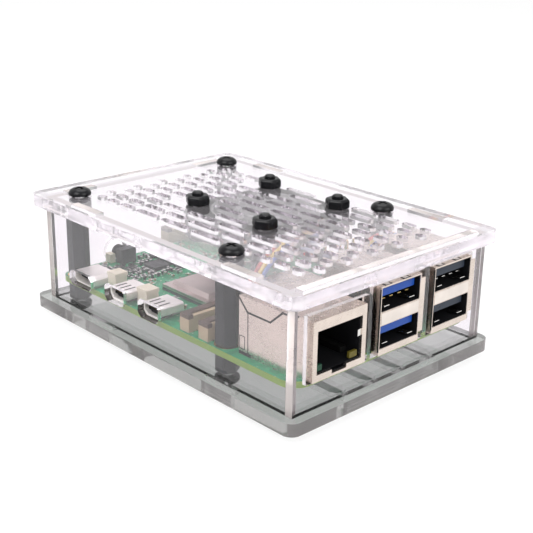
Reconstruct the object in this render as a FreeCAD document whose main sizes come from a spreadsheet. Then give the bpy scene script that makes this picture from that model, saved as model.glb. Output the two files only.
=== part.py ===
import FreeCAD, Part
import math
import os

import Sketcher

# A case of clear laser-cut sheets round a small single board computer, with a fan under the top plate.
# X runs along the board, from the card slot to the network socket. Y runs across it, from the power inlet
# to the pin header, and Z is up. The origin is under the middle of the plates, on the surface that the
# heads of the lower screws stand on. Places on the board are counted from its front left corner.

SIZES = {
    # Clear sheets
    "plate_thick": 3.0,
    "plate_corner": 2.5,
    "margin_left": 6.5,
    "margin_right": 4.5,
    "margin_front": 5.0,
    "margin_back": 6.0,
    "wall_thick": 2.0,
    "wall_inset_left": 3.85,
    "wall_inset_right": 2.2,
    "wall_inset_front": 2.35,
    "wall_inset_back": 2.35,
    "sheet_gap": 0.1,
    "tab_gap": 0.12,
    "front_low_tab_long": 9.9,
    "front_low_tab_pitch": 45.0,
    "front_top_tab_long": 10.5,
    "front_top_tab_pitch": 56.3,
    "right_low_tab_long": 30.6,
    "right_top_tab_long": 57.0,
    "left_top_tab_long": 8.7,
    "left_top_tab_pitch": 42.3,
    "left_low_tab_long": 24.0,
    # Air slots
    "vent_wide": 2.0,
    "vent_between": 1.45,
    "vent_middle_x": 43.4,
    "vent_first_y": 7.0,
    "vent_row_pitch": 4.12,
    "vent_screw_space": 3.4,
    "low_vent_wide": 4.4,
    "low_vent_long": 26.2,
    "low_vent_between": 4.0,
    "low_vent_left": -1.8,
    "low_vent_first_y": 14.0,
    "low_vent_row_pitch": 9.6,
    # Board and what carries it
    "board_long": 85.0,
    "board_wide": 56.0,
    "board_thick": 1.5,
    "board_corner": 3.0,
    "hole_edge": 3.5,
    "hole_pitch_x": 58.0,
    "hole_pitch_y": 49.0,
    "board_hole_dia": 2.7,
    "low_standoff_tall": 5.0,
    "top_standoff_tall": 18.0,
    "standoff_flats": 4.8,
    "standoff_bevel": 0.35,
    "stud_reach": 1.7,
    "thread_dia": 2.4,
    "thread_gap": 0.05,
    "screw_hole_dia": 2.9,
    "low_screw_bite": 2.6,
    "top_screw_bite": 5.0,
    "head_dia": 5.7,
    "head_tall": 1.9,
    "head_shoulder": 0.8,
    "cross_long": 2.9,
    "cross_wide": 0.6,
    "cross_deep": 0.9,
    # Fan
    "fan_x": 40.9,
    "fan_y": 33.3,
    "fan_square": 30.0,
    "fan_tall": 7.0,
    "fan_corner": 3.0,
    "fan_screw_pitch": 24.3,
    "fan_screw_dia": 2.8,
    "fan_hole_dia": 3.2,
    "fan_bore_dia": 28.0,
    "fan_base_thick": 1.2,
    "fan_motor_dia": 15.0,
    "fan_strut_wide": 1.8,
    "fan_screw_head_dia": 5.2,
    "fan_screw_head_tall": 1.8,
    "fan_screw_proud": 0.9,
    "nut_flats": 5.4,
    "nut_tall": 2.4,
    "nut_bevel": 0.35,
    "rotor_hub_dia": 14.0,
    "rotor_drop": 0.5,
    "rotor_lift": 0.4,
    "blade_tip_gap": 0.6,
    "blade_thick": 0.7,
    "blade_root_chord": 4.6,
    "blade_tip_chord": 8.2,
    # Network socket
    "network_x": 66.7,
    "network_y": 10.2,
    "socket_proud": 2.9,
    "network_wide": 16.0,
    "network_tall": 13.5,
    "network_mouth_wide": 13.4,
    "network_mouth_top": 11.2,
    "network_mouth_low": 1.5,
    "network_mouth_deep": 12.5,
    "latch_notch_wide": 4.4,
    "latch_notch_low": 0.6,
    "network_carrier_wide": 10.0,
    "network_carrier_tall": 2.4,
    "network_carrier_long": 8.5,
    "lamp_wide": 2.2,
    "lamp_tall": 1.6,
    "lamp_deep": 4.0,
    "network_cut_margin": 1.2,
    "network_cut_over": 1.5,
    # Stacked sockets
    "stack_x": 70.6,
    "stack_wide": 13.4,
    "stack_tall": 16.0,
    "stack_wall": 0.35,
    "stack_low_wall": 1.5,
    "stack_bar_low": 6.9,
    "stack_bar_high": 10.1,
    "stack_flange_wide": 1.4,
    "stack_flange_low": 2.0,
    "stack_flange_high": 14.8,
    "stack_rear_long": 5.0,
    "tongue_wide": 11.3,
    "tongue_thick": 1.7,
    "tongue_drop": 0.8,
    "tongue_back": 1.2,
    "blue_stack_y": 29.1,
    "black_stack_y": 47.2,
    "blue_cut_margin": 1.9,
    "black_cut_margin": 1.1,
    "stack_cut_over": 0.4,
    "cut_under": 0.2,
    # Sockets and headers on the front edge
    "power_x": 11.2,
    "power_wide": 8.9,
    "power_tall": 3.2,
    "power_long": 7.4,
    "power_proud": 1.1,
    "power_shell": 0.3,
    "power_tongue_wide": 6.5,
    "power_tongue_thick": 0.7,
    "video_left_x": 25.8,
    "video_right_x": 39.2,
    "video_wide": 7.2,
    "video_tall": 3.6,
    "video_long": 7.6,
    "video_proud": 1.1,
    "video_flare": 0.5,
    "video_flare_long": 0.9,
    "video_slope": 1.1,
    "video_shell": 0.55,
    "video_mouth_deep": 4.5,
    "port_cut_gap": 0.3,
    "battery_x": 18.3,
    "battery_y": 4.9,
    "battery_wide": 3.6,
    "serial_x": 32.0,
    "serial_y": 4.0,
    "serial_wide": 4.1,
    "header_tall": 4.5,
    "header_deep": 3.7,
    "header_cap_tall": 0.9,
    "header_cap_step": 0.15,
    # Ribbon connectors
    "ribbon_left_x": 50.0,
    "ribbon_right_x": 56.6,
    "ribbon_y": 8.2,
    "ribbon_long": 15.2,
    "ribbon_wide": 3.2,
    "ribbon_body_tall": 3.2,
    "ribbon_back_tall": 3.9,
    "ribbon_back_wide": 1.1,
    "ribbon_slot_wide": 0.5,
    "ribbon_slot_deep": 2.0,
    "bar_tall": 1.0,
    "bar_ear_long": 1.4,
    "bar_gap": 0.05,
    "expansion_x": 3.0,
    "expansion_y": 36.5,
    "expansion_long": 12.2,
    # Chips, shields and small parts
    "chip_x": 35.0,
    "chip_y": 21.4,
    "chip_wide": 17.4,
    "chip_base_thick": 0.8,
    "lid_rim": 1.7,
    "lid_rim_thick": 0.8,
    "lid_tall": 1.1,
    "lid_slope": 0.6,
    "memory_x": 52.4,
    "memory_y": 24.0,
    "memory_long": 14.0,
    "memory_wide": 10.0,
    "bridge_x": 55.0,
    "bridge_y": 37.5,
    "bridge_wide": 10.0,
    "flat_chip_thick": 1.0,
    "phy_x": 61.8,
    "phy_y": 12.5,
    "phy_wide": 5.0,
    "manager_x": 12.5,
    "manager_y": 21.5,
    "manager_wide": 5.0,
    "shield_x": 11.5,
    "shield_y": 40.5,
    "shield_long": 12.0,
    "shield_wide": 10.5,
    "shield_tall": 1.8,
    "coil_x": 5.6,
    "coil_y": 26.4,
    "coil_wide": 2.5,
    "coil_tall": 1.6,
    "coil_pitch": 3.5,
    "coil_columns": 4,
    # Pin header, fan header, card slot
    "pins_x": 32.5,
    "pins_y": 52.5,
    "pin_pitch": 2.54,
    "pin_columns": 20,
    "pin_thick": 0.64,
    "pin_base_tall": 2.5,
    "pin_tall": 8.5,
    "fan_header_x": 67.0,
    "fan_header_y": 52.0,
    "fan_header_wide": 5.0,
    "fan_header_deep": 2.9,
    "fan_header_tall": 4.2,
    "fan_plug_tall": 4.6,
    "fan_plug_wide": 4.7,
    "fan_plug_deep": 2.4,
    "card_slot_y": 28.0,
    "card_slot_wide": 13.8,
    "card_slot_long": 13.0,
    "card_slot_tall": 1.5,
    "card_slot_inset": 1.0,
    "card_cut_wide": 14.6,
    "card_cut_tall": 3.2,
    # Power button
    "button_y": 18.0,
    "button_high": 2.0,
    "button_dia": 3.8,
    "button_long": 2.0,
    "button_proud": 0.2,
    "switch_long": 2.6,
    "switch_wide": 4.6,
    "switch_tall": 3.9,
    "button_hole_dia": 6.8,
    "button_stem_dia": 2.0,
    "button_stem_long": 0.6,
    "lamp_body_wide": 1.6,
    "lamp_body_long": 2.2,
    "lamp_body_tall": 2.4,
    # Fan leads
    "lead_dia": 0.9,
    "lead_pitch": 1.15,
}


# The document, its sheet, and lengths that carry their formula

doc = FreeCAD.newDocument("ClearBoardCase")
sheet = doc.addObject("Spreadsheet::Sheet", "Sizes")
for row, (size_name, size_value) in enumerate(SIZES.items(), start=1):
    sheet.set("A%d" % row, size_name)
    sheet.set("B%d" % row, str(size_value))
    sheet.setAlias("B%d" % row, size_name)
doc.recompute()


def number(value):
    return value.number if isinstance(value, Size) else float(value)


def formula(value):
    return value.formula if isinstance(value, Size) else repr(float(value))


class Size:
    """A length that knows its number and the sheet formula that gives it."""

    def __init__(self, value, text):
        self.number = value
        self.formula = text

    def __add__(self, other):
        return Size(self.number + number(other), "(%s + %s)" % (self.formula, formula(other)))

    def __radd__(self, other):
        return self + other

    def __sub__(self, other):
        return Size(self.number - number(other), "(%s - %s)" % (self.formula, formula(other)))

    def __rsub__(self, other):
        return Size(number(other) - self.number, "(%s - %s)" % (formula(other), self.formula))

    def __mul__(self, other):
        return Size(self.number * number(other), "(%s * %s)" % (self.formula, formula(other)))

    def __rmul__(self, other):
        return self * other

    def __truediv__(self, other):
        return Size(self.number / number(other), "(%s / %s)" % (self.formula, formula(other)))

    def __neg__(self):
        return self * -1.0


class Lookup:
    """Reads a size from the sheet by its name."""

    def __getattr__(self, name):
        return Size(float(SIZES[name]), "Sizes." + name)


dim = Lookup()

# Levels and edges that every piece is placed from

plate_left = -(dim.board_long + dim.margin_left + dim.margin_right) / 2
plate_front = -(dim.board_wide + dim.margin_front + dim.margin_back) / 2
plate_right = -plate_left
plate_back = -plate_front
low_plate_z = dim.head_tall
low_plate_top = low_plate_z + dim.plate_thick
board_low = low_plate_top + dim.low_standoff_tall
board_top = board_low + dim.board_thick
top_plate_z = board_top + dim.top_standoff_tall
top_plate_top = top_plate_z + dim.plate_thick
board_left = plate_left + dim.margin_left
board_front = plate_front + dim.margin_front
board_mid_x = board_left + dim.board_long / 2
board_mid_y = board_front + dim.board_wide / 2
wall_front = plate_front + dim.wall_inset_front
wall_back = plate_back - dim.wall_inset_back
wall_left = plate_left + dim.wall_inset_left
wall_right = plate_right - dim.wall_inset_right
port_face = board_left + dim.board_long + dim.socket_proud


def at_x(place):
    return board_left + place


def at_y(place):
    return board_front + place


def at_z(place):
    return board_top + place


# Small builders: sketches whose corners are tied to the sheet, and the features made from them

PARTS = {}


def keep(name, item):
    """Names a finished sub-part, and lists it for export."""
    item.Label = name
    PARTS[name] = item
    return item


def new_body(name):
    return keep(name, doc.addObject("PartDesign::Body", name))


def origin_feature(body, role):
    return [item for item in body.Origin.OriginFeatures if item.Role == role][0]


def sketch_on(body, role, lift=0.0):
    item = body.newObject("Sketcher::SketchObject", body.Name + "_sketch")
    item.AttachmentSupport = [(origin_feature(body, role), "")]
    item.MapMode = "FlatFace"
    item.setExpression("AttachmentOffset.Base.z", formula(lift))
    return item


def draw(item, loops=(), circles=()):
    """Draws closed loops of straight edges, and circles, with every point and radius tied to the sheet."""
    ties = []
    links = []
    before = item.ConstraintCount
    for points in loops:
        first = item.GeometryCount
        count = len(points)
        places = [FreeCAD.Vector(number(x), number(y), 0) for x, y in points]
        item.addGeometry([Part.LineSegment(places[i], places[(i + 1) % count]) for i in range(count)], False)
        for i, (x, y) in enumerate(points):
            links.append(Sketcher.Constraint("Coincident", first + i, 2, first + (i + 1) % count, 1))
            ties.append((Sketcher.Constraint("DistanceX", -1, 1, first + i, 1, number(x)), x))
            ties.append((Sketcher.Constraint("DistanceY", -1, 1, first + i, 1, number(y)), y))
    for (x, y), radius in circles:
        place = FreeCAD.Vector(number(x), number(y), 0)
        edge = item.addGeometry(Part.Circle(place, FreeCAD.Vector(0, 0, 1), number(radius)), False)
        ties.append((Sketcher.Constraint("DistanceX", -1, 1, edge, 3, number(x)), x))
        ties.append((Sketcher.Constraint("DistanceY", -1, 1, edge, 3, number(y)), y))
        ties.append((Sketcher.Constraint("Radius", edge, number(radius)), radius))
    item.addConstraint(links + [constraint for constraint, value in ties])
    for index, (constraint, value) in enumerate(ties, start=before + len(links)):
        item.setExpression("Constraints[%d]" % index, formula(value))
    return item


def draw_loop(item, points):
    return draw(item, [points])


def draw_circle(item, centre, radius):
    return draw(item, (), [(centre, radius)])


def sketch(body, role, lift, loops=(), circles=()):
    return draw(sketch_on(body, role, lift), loops, circles)


def rectangle(x0, y0, x1, y1):
    return [(x0, y0), (x1, y0), (x1, y1), (x0, y1)]


def centred(x, y, wide, tall):
    return rectangle(x - wide / 2, y - tall / 2, x + wide / 2, y + tall / 2)


def polygon(x, y, radius, sides):
    """A regular polygon round a place, with a corner on the X direction."""
    turns = [2 * math.pi * i / sides for i in range(sides)]
    return [(x + radius * math.cos(turn), y + radius * math.sin(turn)) for turn in turns]


def hexagon(x, y, flats):
    return polygon(x, y, flats / math.sqrt(3), 6)


def cross(x, y, long, wide):
    """A plus sign, as the recess of a cross-head screw."""
    a = long / 2
    b = wide / 2
    return [
        (x - b, y - a), (x + b, y - a), (x + b, y - b), (x + a, y - b), (x + a, y + b), (x + b, y + b),
        (x + b, y + a), (x - b, y + a), (x - b, y + b), (x - a, y + b), (x - a, y - b), (x - b, y - b),
    ]


def slot(x, y, long, wide, end_parts):
    """A slot along X, centred on a place, whose round ends are made of a few straight parts."""
    reach = long / 2 - wide / 2
    turns = [math.radians(-90 + 180 * i / end_parts) for i in range(end_parts + 1)]
    right = [(x + reach + wide / 2 * math.cos(turn), y + wide / 2 * math.sin(turn)) for turn in turns]
    left = [(x - reach - wide / 2 * math.cos(turn), y - wide / 2 * math.sin(turn)) for turn in turns]
    return right + left


def pad(body, item, length, backwards=False):
    feature = body.newObject("PartDesign::Pad", body.Name + "_pad")
    feature.Profile = (item, [""])
    feature.setExpression("Length", formula(length))
    feature.Reversed = backwards
    return feature


def pocket(body, item, depth=None, backwards=False):
    """Cuts a sketch into the body, right through it where no depth is given."""
    feature = body.newObject("PartDesign::Pocket", body.Name + "_pocket")
    feature.Profile = (item, [""])
    if depth is None:
        feature.Type = "ThroughAll"
        feature.Midplane = True
    else:
        feature.setExpression("Length", formula(depth))
        feature.Reversed = backwards
    return feature


def dress(body, kind, base, size_property, size, wanted):
    """Adds a fillet or chamfer to the edges of the base feature that a test picks."""
    doc.recompute()
    names = ["Edge%d" % (i + 1) for i, edge in enumerate(base.Shape.Edges) if wanted(edge)]
    feature = body.newObject("PartDesign::" + kind, body.Name + "_" + kind.lower())
    feature.Base = (base, names)
    feature.setExpression(size_property, formula(size))
    return feature


def repeat(body, pitch_x, pitch_y, count_x=2, count_y=2, features=()):
    """Repeats the whole body, or the listed features alone, along X and Y."""
    doc.recompute()
    pattern = body.newObject("PartDesign::LinearPattern", body.Name + "_pattern")
    if features:
        pattern.Originals = list(features)
    else:
        pattern.TransformMode = "Whole shape"
    pattern.Direction = (origin_feature(body, "X_Axis"), [""])
    pattern.Occurrences = count_x
    pattern.setExpression("Length", formula(pitch_x * (count_x - 1)))
    pattern.Direction2 = (origin_feature(body, "Y_Axis"), [""])
    pattern.Occurrences2 = count_y
    pattern.setExpression("Length2", formula(pitch_y * (count_y - 1)))
    body.Tip = pattern
    return pattern


def is_upright(edge):
    box = edge.BoundBox
    return box.XLength < 1e-6 and box.YLength < 1e-6 and box.ZLength > 1e-6


def block(name, x, y, z):
    """A plain box between two places on each axis."""
    item = doc.addObject("Part::Box", name)
    for size_property, axis, (low, high) in zip(("Length", "Width", "Height"), "xyz", (x, y, z)):
        item.setExpression(size_property, formula(high - low))
        item.setExpression("Placement.Base." + axis, formula(low))
    return item


def chip(name, x, y, long, wide, low, tall):
    """A flat box on the board, centred on a place."""
    return block(
        name,
        (at_x(x - long / 2), at_x(x + long / 2)),
        (at_y(y - wide / 2), at_y(y + wide / 2)),
        (at_z(low), at_z(low + tall)),
    )


def group(name, items):
    """Several like solids that stay apart but count as one sub-part."""
    item = doc.addObject("Part::Compound", name)
    item.Links = items
    return keep(name, item)


def join(name, items):
    item = doc.addObject("Part::MultiFuse", name)
    item.Shapes = items
    item.Refine = True
    return item


def cut(name, base, tool):
    item = doc.addObject("Part::Cut", name)
    item.Base = base
    item.Tool = tool
    return item


def four_corners(x, y, pitch_x, pitch_y):
    return [
        (x + pitch_x * sign_x / 2, y + pitch_y * sign_y / 2)
        for sign_x in (-1.0, 1.0) for sign_y in (-1.0, 1.0)
    ]


hole_mid_x = at_x(dim.hole_edge + dim.hole_pitch_x / 2)
hole_mid_y = at_y(dim.hole_edge + dim.hole_pitch_y / 2)
case_holes = four_corners(hole_mid_x, hole_mid_y, dim.hole_pitch_x, dim.hole_pitch_y)
fan_mid_x = at_x(dim.fan_x)
fan_mid_y = at_y(dim.fan_y)
fan_holes = four_corners(fan_mid_x, fan_mid_y, dim.fan_screw_pitch, dim.fan_screw_pitch)


# Clear sheets: each wall's tabs are listed once, and cut both the wall and the plates

def two_tabs(middle, pitch, long):
    return [(middle - pitch / 2, long), (middle + pitch / 2, long)]


front_low_tabs = two_tabs(board_mid_x, dim.front_low_tab_pitch, dim.front_low_tab_long)
front_top_tabs = two_tabs(board_mid_x, dim.front_top_tab_pitch, dim.front_top_tab_long)
right_low_tabs = [(board_mid_y, dim.right_low_tab_long)]
right_top_tabs = [(board_mid_y, dim.right_top_tab_long)]
left_low_tabs = [(board_mid_y, dim.left_low_tab_long)]
left_top_tabs = two_tabs(board_mid_y, dim.left_top_tab_pitch, dim.left_top_tab_long)


def tab_slots_along_x(tabs, low_y):
    """Plate slots for a wall that runs along X."""
    return [
        rectangle(middle - long / 2 - dim.tab_gap, low_y - dim.tab_gap,
                  middle + long / 2 + dim.tab_gap, low_y + dim.wall_thick + dim.tab_gap)
        for middle, long in tabs
    ]


def tab_slots_along_y(tabs, low_x):
    """Plate slots for a wall that runs along Y."""
    return [
        rectangle(low_x - dim.tab_gap, middle - long / 2 - dim.tab_gap,
                  low_x + dim.wall_thick + dim.tab_gap, middle + long / 2 + dim.tab_gap)
        for middle, long in tabs
    ]


# Half of each air slot row, from the middle outwards: rows with a slot on the middle line, and rows without
VENTS_WITH_MIDDLE = (10.6, 7.2, 6.9, 5.1, 3.9, 2.7)
VENTS_WITHOUT_MIDDLE = (10.0, 8.1, 5.1, 3.9, 2.8)
VENT_ROWS = 11
LOW_VENT_ROWS = 4
LOW_VENT_COLUMNS = 3
LOW_VENT_END_PARTS = 4
HOLE_SIDES = 12


def is_clear_of_screws(x0, x1, y):
    """True where a slot keeps the wanted space to each fan screw."""
    for hole_x, hole_y in fan_holes:
        nearest = min(max(number(hole_x), number(x0)), number(x1))
        away = math.hypot(nearest - number(hole_x), number(y) - number(hole_y))
        if away < number(dim.vent_screw_space):
            return False
    return True


def eased_slot(x0, x1, y):
    """A slot along X between two ends, with its corners cut off to look round."""
    half = dim.vent_wide / 2
    cut_off = half * (2 - math.sqrt(2))
    return [
        (x0 + cut_off, y - half), (x1 - cut_off, y - half),
        (x1, y - half + cut_off), (x1, y + half - cut_off),
        (x1 - cut_off, y + half), (x0 + cut_off, y + half),
        (x0, y + half - cut_off), (x0, y - half + cut_off),
    ]


def vent_row(row_index):
    """The slots of one row of the top plate, in its two halves, without those that a fan screw needs."""
    y = at_y(dim.vent_first_y + dim.vent_row_pitch * row_index)
    middle = at_x(dim.vent_middle_x)
    left = []
    right = []
    if row_index % 2:
        lengths = VENTS_WITH_MIDDLE[1:]
        edge = dim.vent_between + VENTS_WITH_MIDDLE[0] / 2
        right.append((middle - VENTS_WITH_MIDDLE[0] / 2, middle + VENTS_WITH_MIDDLE[0] / 2))
    else:
        lengths = VENTS_WITHOUT_MIDDLE
        edge = dim.vent_between / 2
    for length in lengths:
        right.append((middle + edge, middle + edge + length))
        left.append((middle - edge - length, middle - edge))
        edge = edge + length + dim.vent_between
    return [
        [eased_slot(x0, x1, y) for x0, x1 in half_row if is_clear_of_screws(x0, x1, y)]
        for half_row in (left, right)
    ]


def make_slab(name, low_z):
    """A plate's blank, with round corners."""
    body = doc.addObject("PartDesign::Body", name)
    base = sketch(body, "XY_Plane", low_z, [rectangle(plate_left, plate_front, plate_right, plate_back)])
    slab = pad(body, base, dim.plate_thick)
    dress(body, "Fillet", slab, "Radius", dim.plate_corner, is_upright)
    return body


def cut_holes(body, top_z, first, radius, pitch_x, pitch_y):
    """One round hole, repeated at the four corners of a rectangle."""
    item = sketch(body, "XY_Plane", top_z, [polygon(first[0], first[1], radius, HOLE_SIDES)])
    hole = pocket(body, item, dim.plate_thick)
    repeat(body, pitch_x, pitch_y, features=[hole])


back_inner = wall_back - dim.wall_thick
right_inner = wall_right - dim.wall_thick

bottom_plate = keep("bottom_plate", make_slab("bottom_plate", low_plate_z))
first_low_vent = slot(
    at_x(dim.low_vent_left + dim.low_vent_long / 2), at_y(dim.low_vent_first_y),
    dim.low_vent_long, dim.low_vent_wide, LOW_VENT_END_PARTS,
)
low_vent = pocket(bottom_plate, sketch(bottom_plate, "XY_Plane", low_plate_top, [first_low_vent]),
                  dim.plate_thick)
repeat(bottom_plate, dim.low_vent_long + dim.low_vent_between, dim.low_vent_row_pitch,
       LOW_VENT_COLUMNS, LOW_VENT_ROWS, [low_vent])
screw_hole_radius = dim.screw_hole_dia / 2
cut_holes(bottom_plate, low_plate_top, case_holes[0], screw_hole_radius, dim.hole_pitch_x, dim.hole_pitch_y)
low_tab_slots = (tab_slots_along_x(front_low_tabs, wall_front) + tab_slots_along_x(front_low_tabs, back_inner)
                 + tab_slots_along_y(right_low_tabs, right_inner)
                 + tab_slots_along_y(left_low_tabs, wall_left))
pocket(bottom_plate, sketch(bottom_plate, "XY_Plane", low_plate_top, low_tab_slots), dim.plate_thick)

top_slab = make_slab("top_plate_blank", top_plate_z)
cut_holes(top_slab, top_plate_top, case_holes[0], screw_hole_radius, dim.hole_pitch_x, dim.hole_pitch_y)
cut_holes(top_slab, top_plate_top, fan_holes[0], dim.fan_hole_dia / 2,
          dim.fan_screw_pitch, dim.fan_screw_pitch)
top_tab_slots = (tab_slots_along_x(front_top_tabs, wall_front) + tab_slots_along_x(front_top_tabs, back_inner)
                 + tab_slots_along_y(right_top_tabs, right_inner)
                 + tab_slots_along_y(left_top_tabs, wall_left))
pocket(top_slab, sketch(top_slab, "XY_Plane", top_plate_top, top_tab_slots), dim.plate_thick)

vent_cores = []
for row_index in range(VENT_ROWS):
    for half_row in vent_row(row_index):
        row_sketch = doc.addObject("Sketcher::SketchObject", "vent_sketch")
        row_sketch.setExpression("Placement.Base.z", formula(top_plate_z))
        draw(row_sketch, half_row)
        core = doc.addObject("Part::Extrusion", "vent_core")
        core.Base = row_sketch
        core.DirMode = "Normal"
        core.Solid = True
        core.setExpression("LengthFwd", formula(dim.plate_thick))
        vent_cores.append(core)
all_vents = doc.addObject("Part::Compound", "vent_cores")
all_vents.Links = vent_cores
keep("top_plate", cut("top_plate", top_slab, all_vents))


def wall_outline(start, end, low_tabs, top_tabs):
    """A wall's outline, with tabs that reach through both plates."""
    points = [(start, low_plate_top)]
    for middle, long in low_tabs:
        points += [(middle - long / 2, low_plate_top), (middle - long / 2, low_plate_z),
                   (middle + long / 2, low_plate_z), (middle + long / 2, low_plate_top)]
    points += [(end, low_plate_top), (end, top_plate_z)]
    for middle, long in reversed(top_tabs):
        points += [(middle + long / 2, top_plate_z), (middle + long / 2, top_plate_top),
                   (middle - long / 2, top_plate_top), (middle - long / 2, top_plate_z)]
    points.append((start, top_plate_z))
    return points


def make_wall(name, role, lift, outline, windows, rounds=()):
    """One wall sheet, with its windows cut right through."""
    body = new_body(name)
    base = sketch_on(body, role, lift)
    draw_loop(base, outline)
    pad(body, base, dim.wall_thick)
    if windows or rounds:
        openings = sketch_on(body, role, lift)
        for corners in windows:
            draw_loop(openings, corners)
        for centre, radius in rounds:
            draw_circle(openings, centre, radius)
        pocket(body, openings)
    return body


def power_outline(x, grow):
    """The pill-shaped front of the power inlet, grown all round."""
    low = at_z(0.0) - grow
    high = at_z(dim.power_tall) + grow
    half = dim.power_wide / 2 + grow
    bevel = (dim.power_tall / 2 + grow) * (2 - math.sqrt(2))
    return [
        (x - half + bevel, low), (x + half - bevel, low), (x + half, low + bevel), (x + half, high - bevel),
        (x + half - bevel, high), (x - half + bevel, high), (x - half, high - bevel), (x - half, low + bevel),
    ]


def video_outline(x, grow, flare=0.0):
    """The front of a video socket: square shoulders above, and sloping sides below."""
    half = dim.video_wide / 2 + grow - flare
    low = at_z(0.0) - grow + flare
    high = at_z(dim.video_tall) + grow - flare
    slope = dim.video_slope
    top_bevel = slope / 3
    return [
        (x - half + slope, low), (x + half - slope, low), (x + half, low + slope),
        (x + half, high - top_bevel), (x + half - top_bevel, high), (x - half + top_bevel, high),
        (x - half, high - top_bevel),
        (x - half, low + slope),
    ]


power_mid = at_x(dim.power_x)
video_mids = (at_x(dim.video_left_x), at_x(dim.video_right_x))
left_inner = wall_left + dim.wall_thick
short_start = left_inner + dim.sheet_gap
short_end = right_inner - dim.sheet_gap
make_wall(
    "front_wall", "XZ_Plane", -(wall_front + dim.wall_thick),
    wall_outline(short_start, short_end, front_low_tabs, front_top_tabs),
    [power_outline(power_mid, dim.port_cut_gap)] + [video_outline(x, dim.port_cut_gap) for x in video_mids],
)
make_wall(
    "back_wall", "XZ_Plane", -wall_back,
    wall_outline(short_start, short_end, front_low_tabs, front_top_tabs), [],
)


def socket_window(middle, wide, margin, tall, over):
    return rectangle(at_y(middle - wide / 2 - margin), at_z(-dim.cut_under),
                     at_y(middle + wide / 2 + margin), at_z(tall + over))


card_window_top = at_z(-dim.board_thick)
make_wall(
    "right_wall", "YZ_Plane", right_inner,
    wall_outline(wall_front, wall_back, right_low_tabs, right_top_tabs),
    [
        socket_window(dim.network_y, dim.network_wide, dim.network_cut_margin,
                      dim.network_tall, dim.network_cut_over),
        socket_window(dim.blue_stack_y, dim.stack_wide, dim.blue_cut_margin,
                      dim.stack_tall, dim.stack_cut_over),
        socket_window(dim.black_stack_y, dim.stack_wide, dim.black_cut_margin,
                      dim.stack_tall, dim.stack_cut_over),
    ],
)
make_wall(
    "left_wall", "YZ_Plane", wall_left,
    wall_outline(wall_front, wall_back, left_low_tabs, left_top_tabs),
    [rectangle(at_y(dim.card_slot_y - dim.card_cut_wide / 2), card_window_top - dim.card_cut_tall,
               at_y(dim.card_slot_y + dim.card_cut_wide / 2), card_window_top)],
    [((at_y(dim.button_y), at_z(dim.button_high)), dim.button_hole_dia / 2)],
)


# Standoffs, screws and nuts: one of each, repeated at its four holes. Small round parts have flat sides here.

HEAD_SIDES = 16
SMALL_HEAD_SIDES = 12
THREAD_SIDES = 8


def flat_at(level):
    """Picks the straight edges that lie level at one height."""
    def test(edge):
        box = edge.BoundBox
        return box.ZLength < 1e-6 and abs(box.ZMin - number(level)) < 1e-6
    return test


def post(body, centre, level, radius, length, sides, backwards=False):
    item = sketch(body, "XY_Plane", level, [polygon(centre[0], centre[1], radius, sides)])
    return pad(body, item, length, backwards)


def bore(body, centre, level, radius, depth, upwards=False):
    item = sketch(body, "XY_Plane", level, [polygon(centre[0], centre[1], radius, THREAD_SIDES)])
    return pocket(body, item, depth, upwards)


def hex_column(body, centre, low, tall, bevel):
    """A hexagonal column with bevelled ends."""
    base = sketch(body, "XY_Plane", low, [hexagon(centre[0], centre[1], dim.standoff_flats)])
    column = pad(body, base, tall)
    ends = (flat_at(low), flat_at(low + tall))
    return dress(body, "Chamfer", column, "Size", bevel, lambda edge: any(test(edge) for test in ends))


thread_radius = dim.thread_dia / 2
thread_hole_radius = thread_radius + dim.thread_gap
first_hole = case_holes[0]

low_standoffs = new_body("lower_standoffs")
hex_column(low_standoffs, first_hole, low_plate_top, dim.low_standoff_tall, dim.standoff_bevel)
bore(low_standoffs, first_hole, low_plate_top, thread_hole_radius, dim.low_standoff_tall, upwards=True)
repeat(low_standoffs, dim.hole_pitch_x, dim.hole_pitch_y)

top_standoffs = new_body("upper_standoffs")
hex_column(top_standoffs, first_hole, board_top, dim.top_standoff_tall, dim.standoff_bevel)
post(top_standoffs, first_hole, board_top, thread_radius, dim.board_thick + dim.stud_reach, THREAD_SIDES,
     backwards=True)
bore(top_standoffs, first_hole, top_plate_z, thread_hole_radius, dim.top_screw_bite + dim.thread_gap)
repeat(top_standoffs, dim.hole_pitch_x, dim.hole_pitch_y)


def make_screws(name, centre, seat, up, sides, head_dia, head_tall, thread_dia, thread_long,
                pitch_x, pitch_y):
    """Pan-head screws: up is 1 for heads above their seat, with a cross recess, and -1 for heads below it."""
    body = new_body(name)
    head_end = seat + head_tall * up
    head = post(body, centre, seat, head_dia / 2, head_tall, sides, backwards=up < 0)
    dress(body, "Chamfer", head, "Size", dim.head_shoulder, flat_at(head_end))
    post(body, centre, seat, thread_dia / 2, thread_long, THREAD_SIDES, backwards=up > 0)
    if up > 0:
        arms = cross(centre[0], centre[1], dim.cross_long, dim.cross_wide)
        recess = sketch(body, "XY_Plane", head_end, [arms])
        pocket(body, recess, dim.cross_deep)
    repeat(body, pitch_x, pitch_y)


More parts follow.
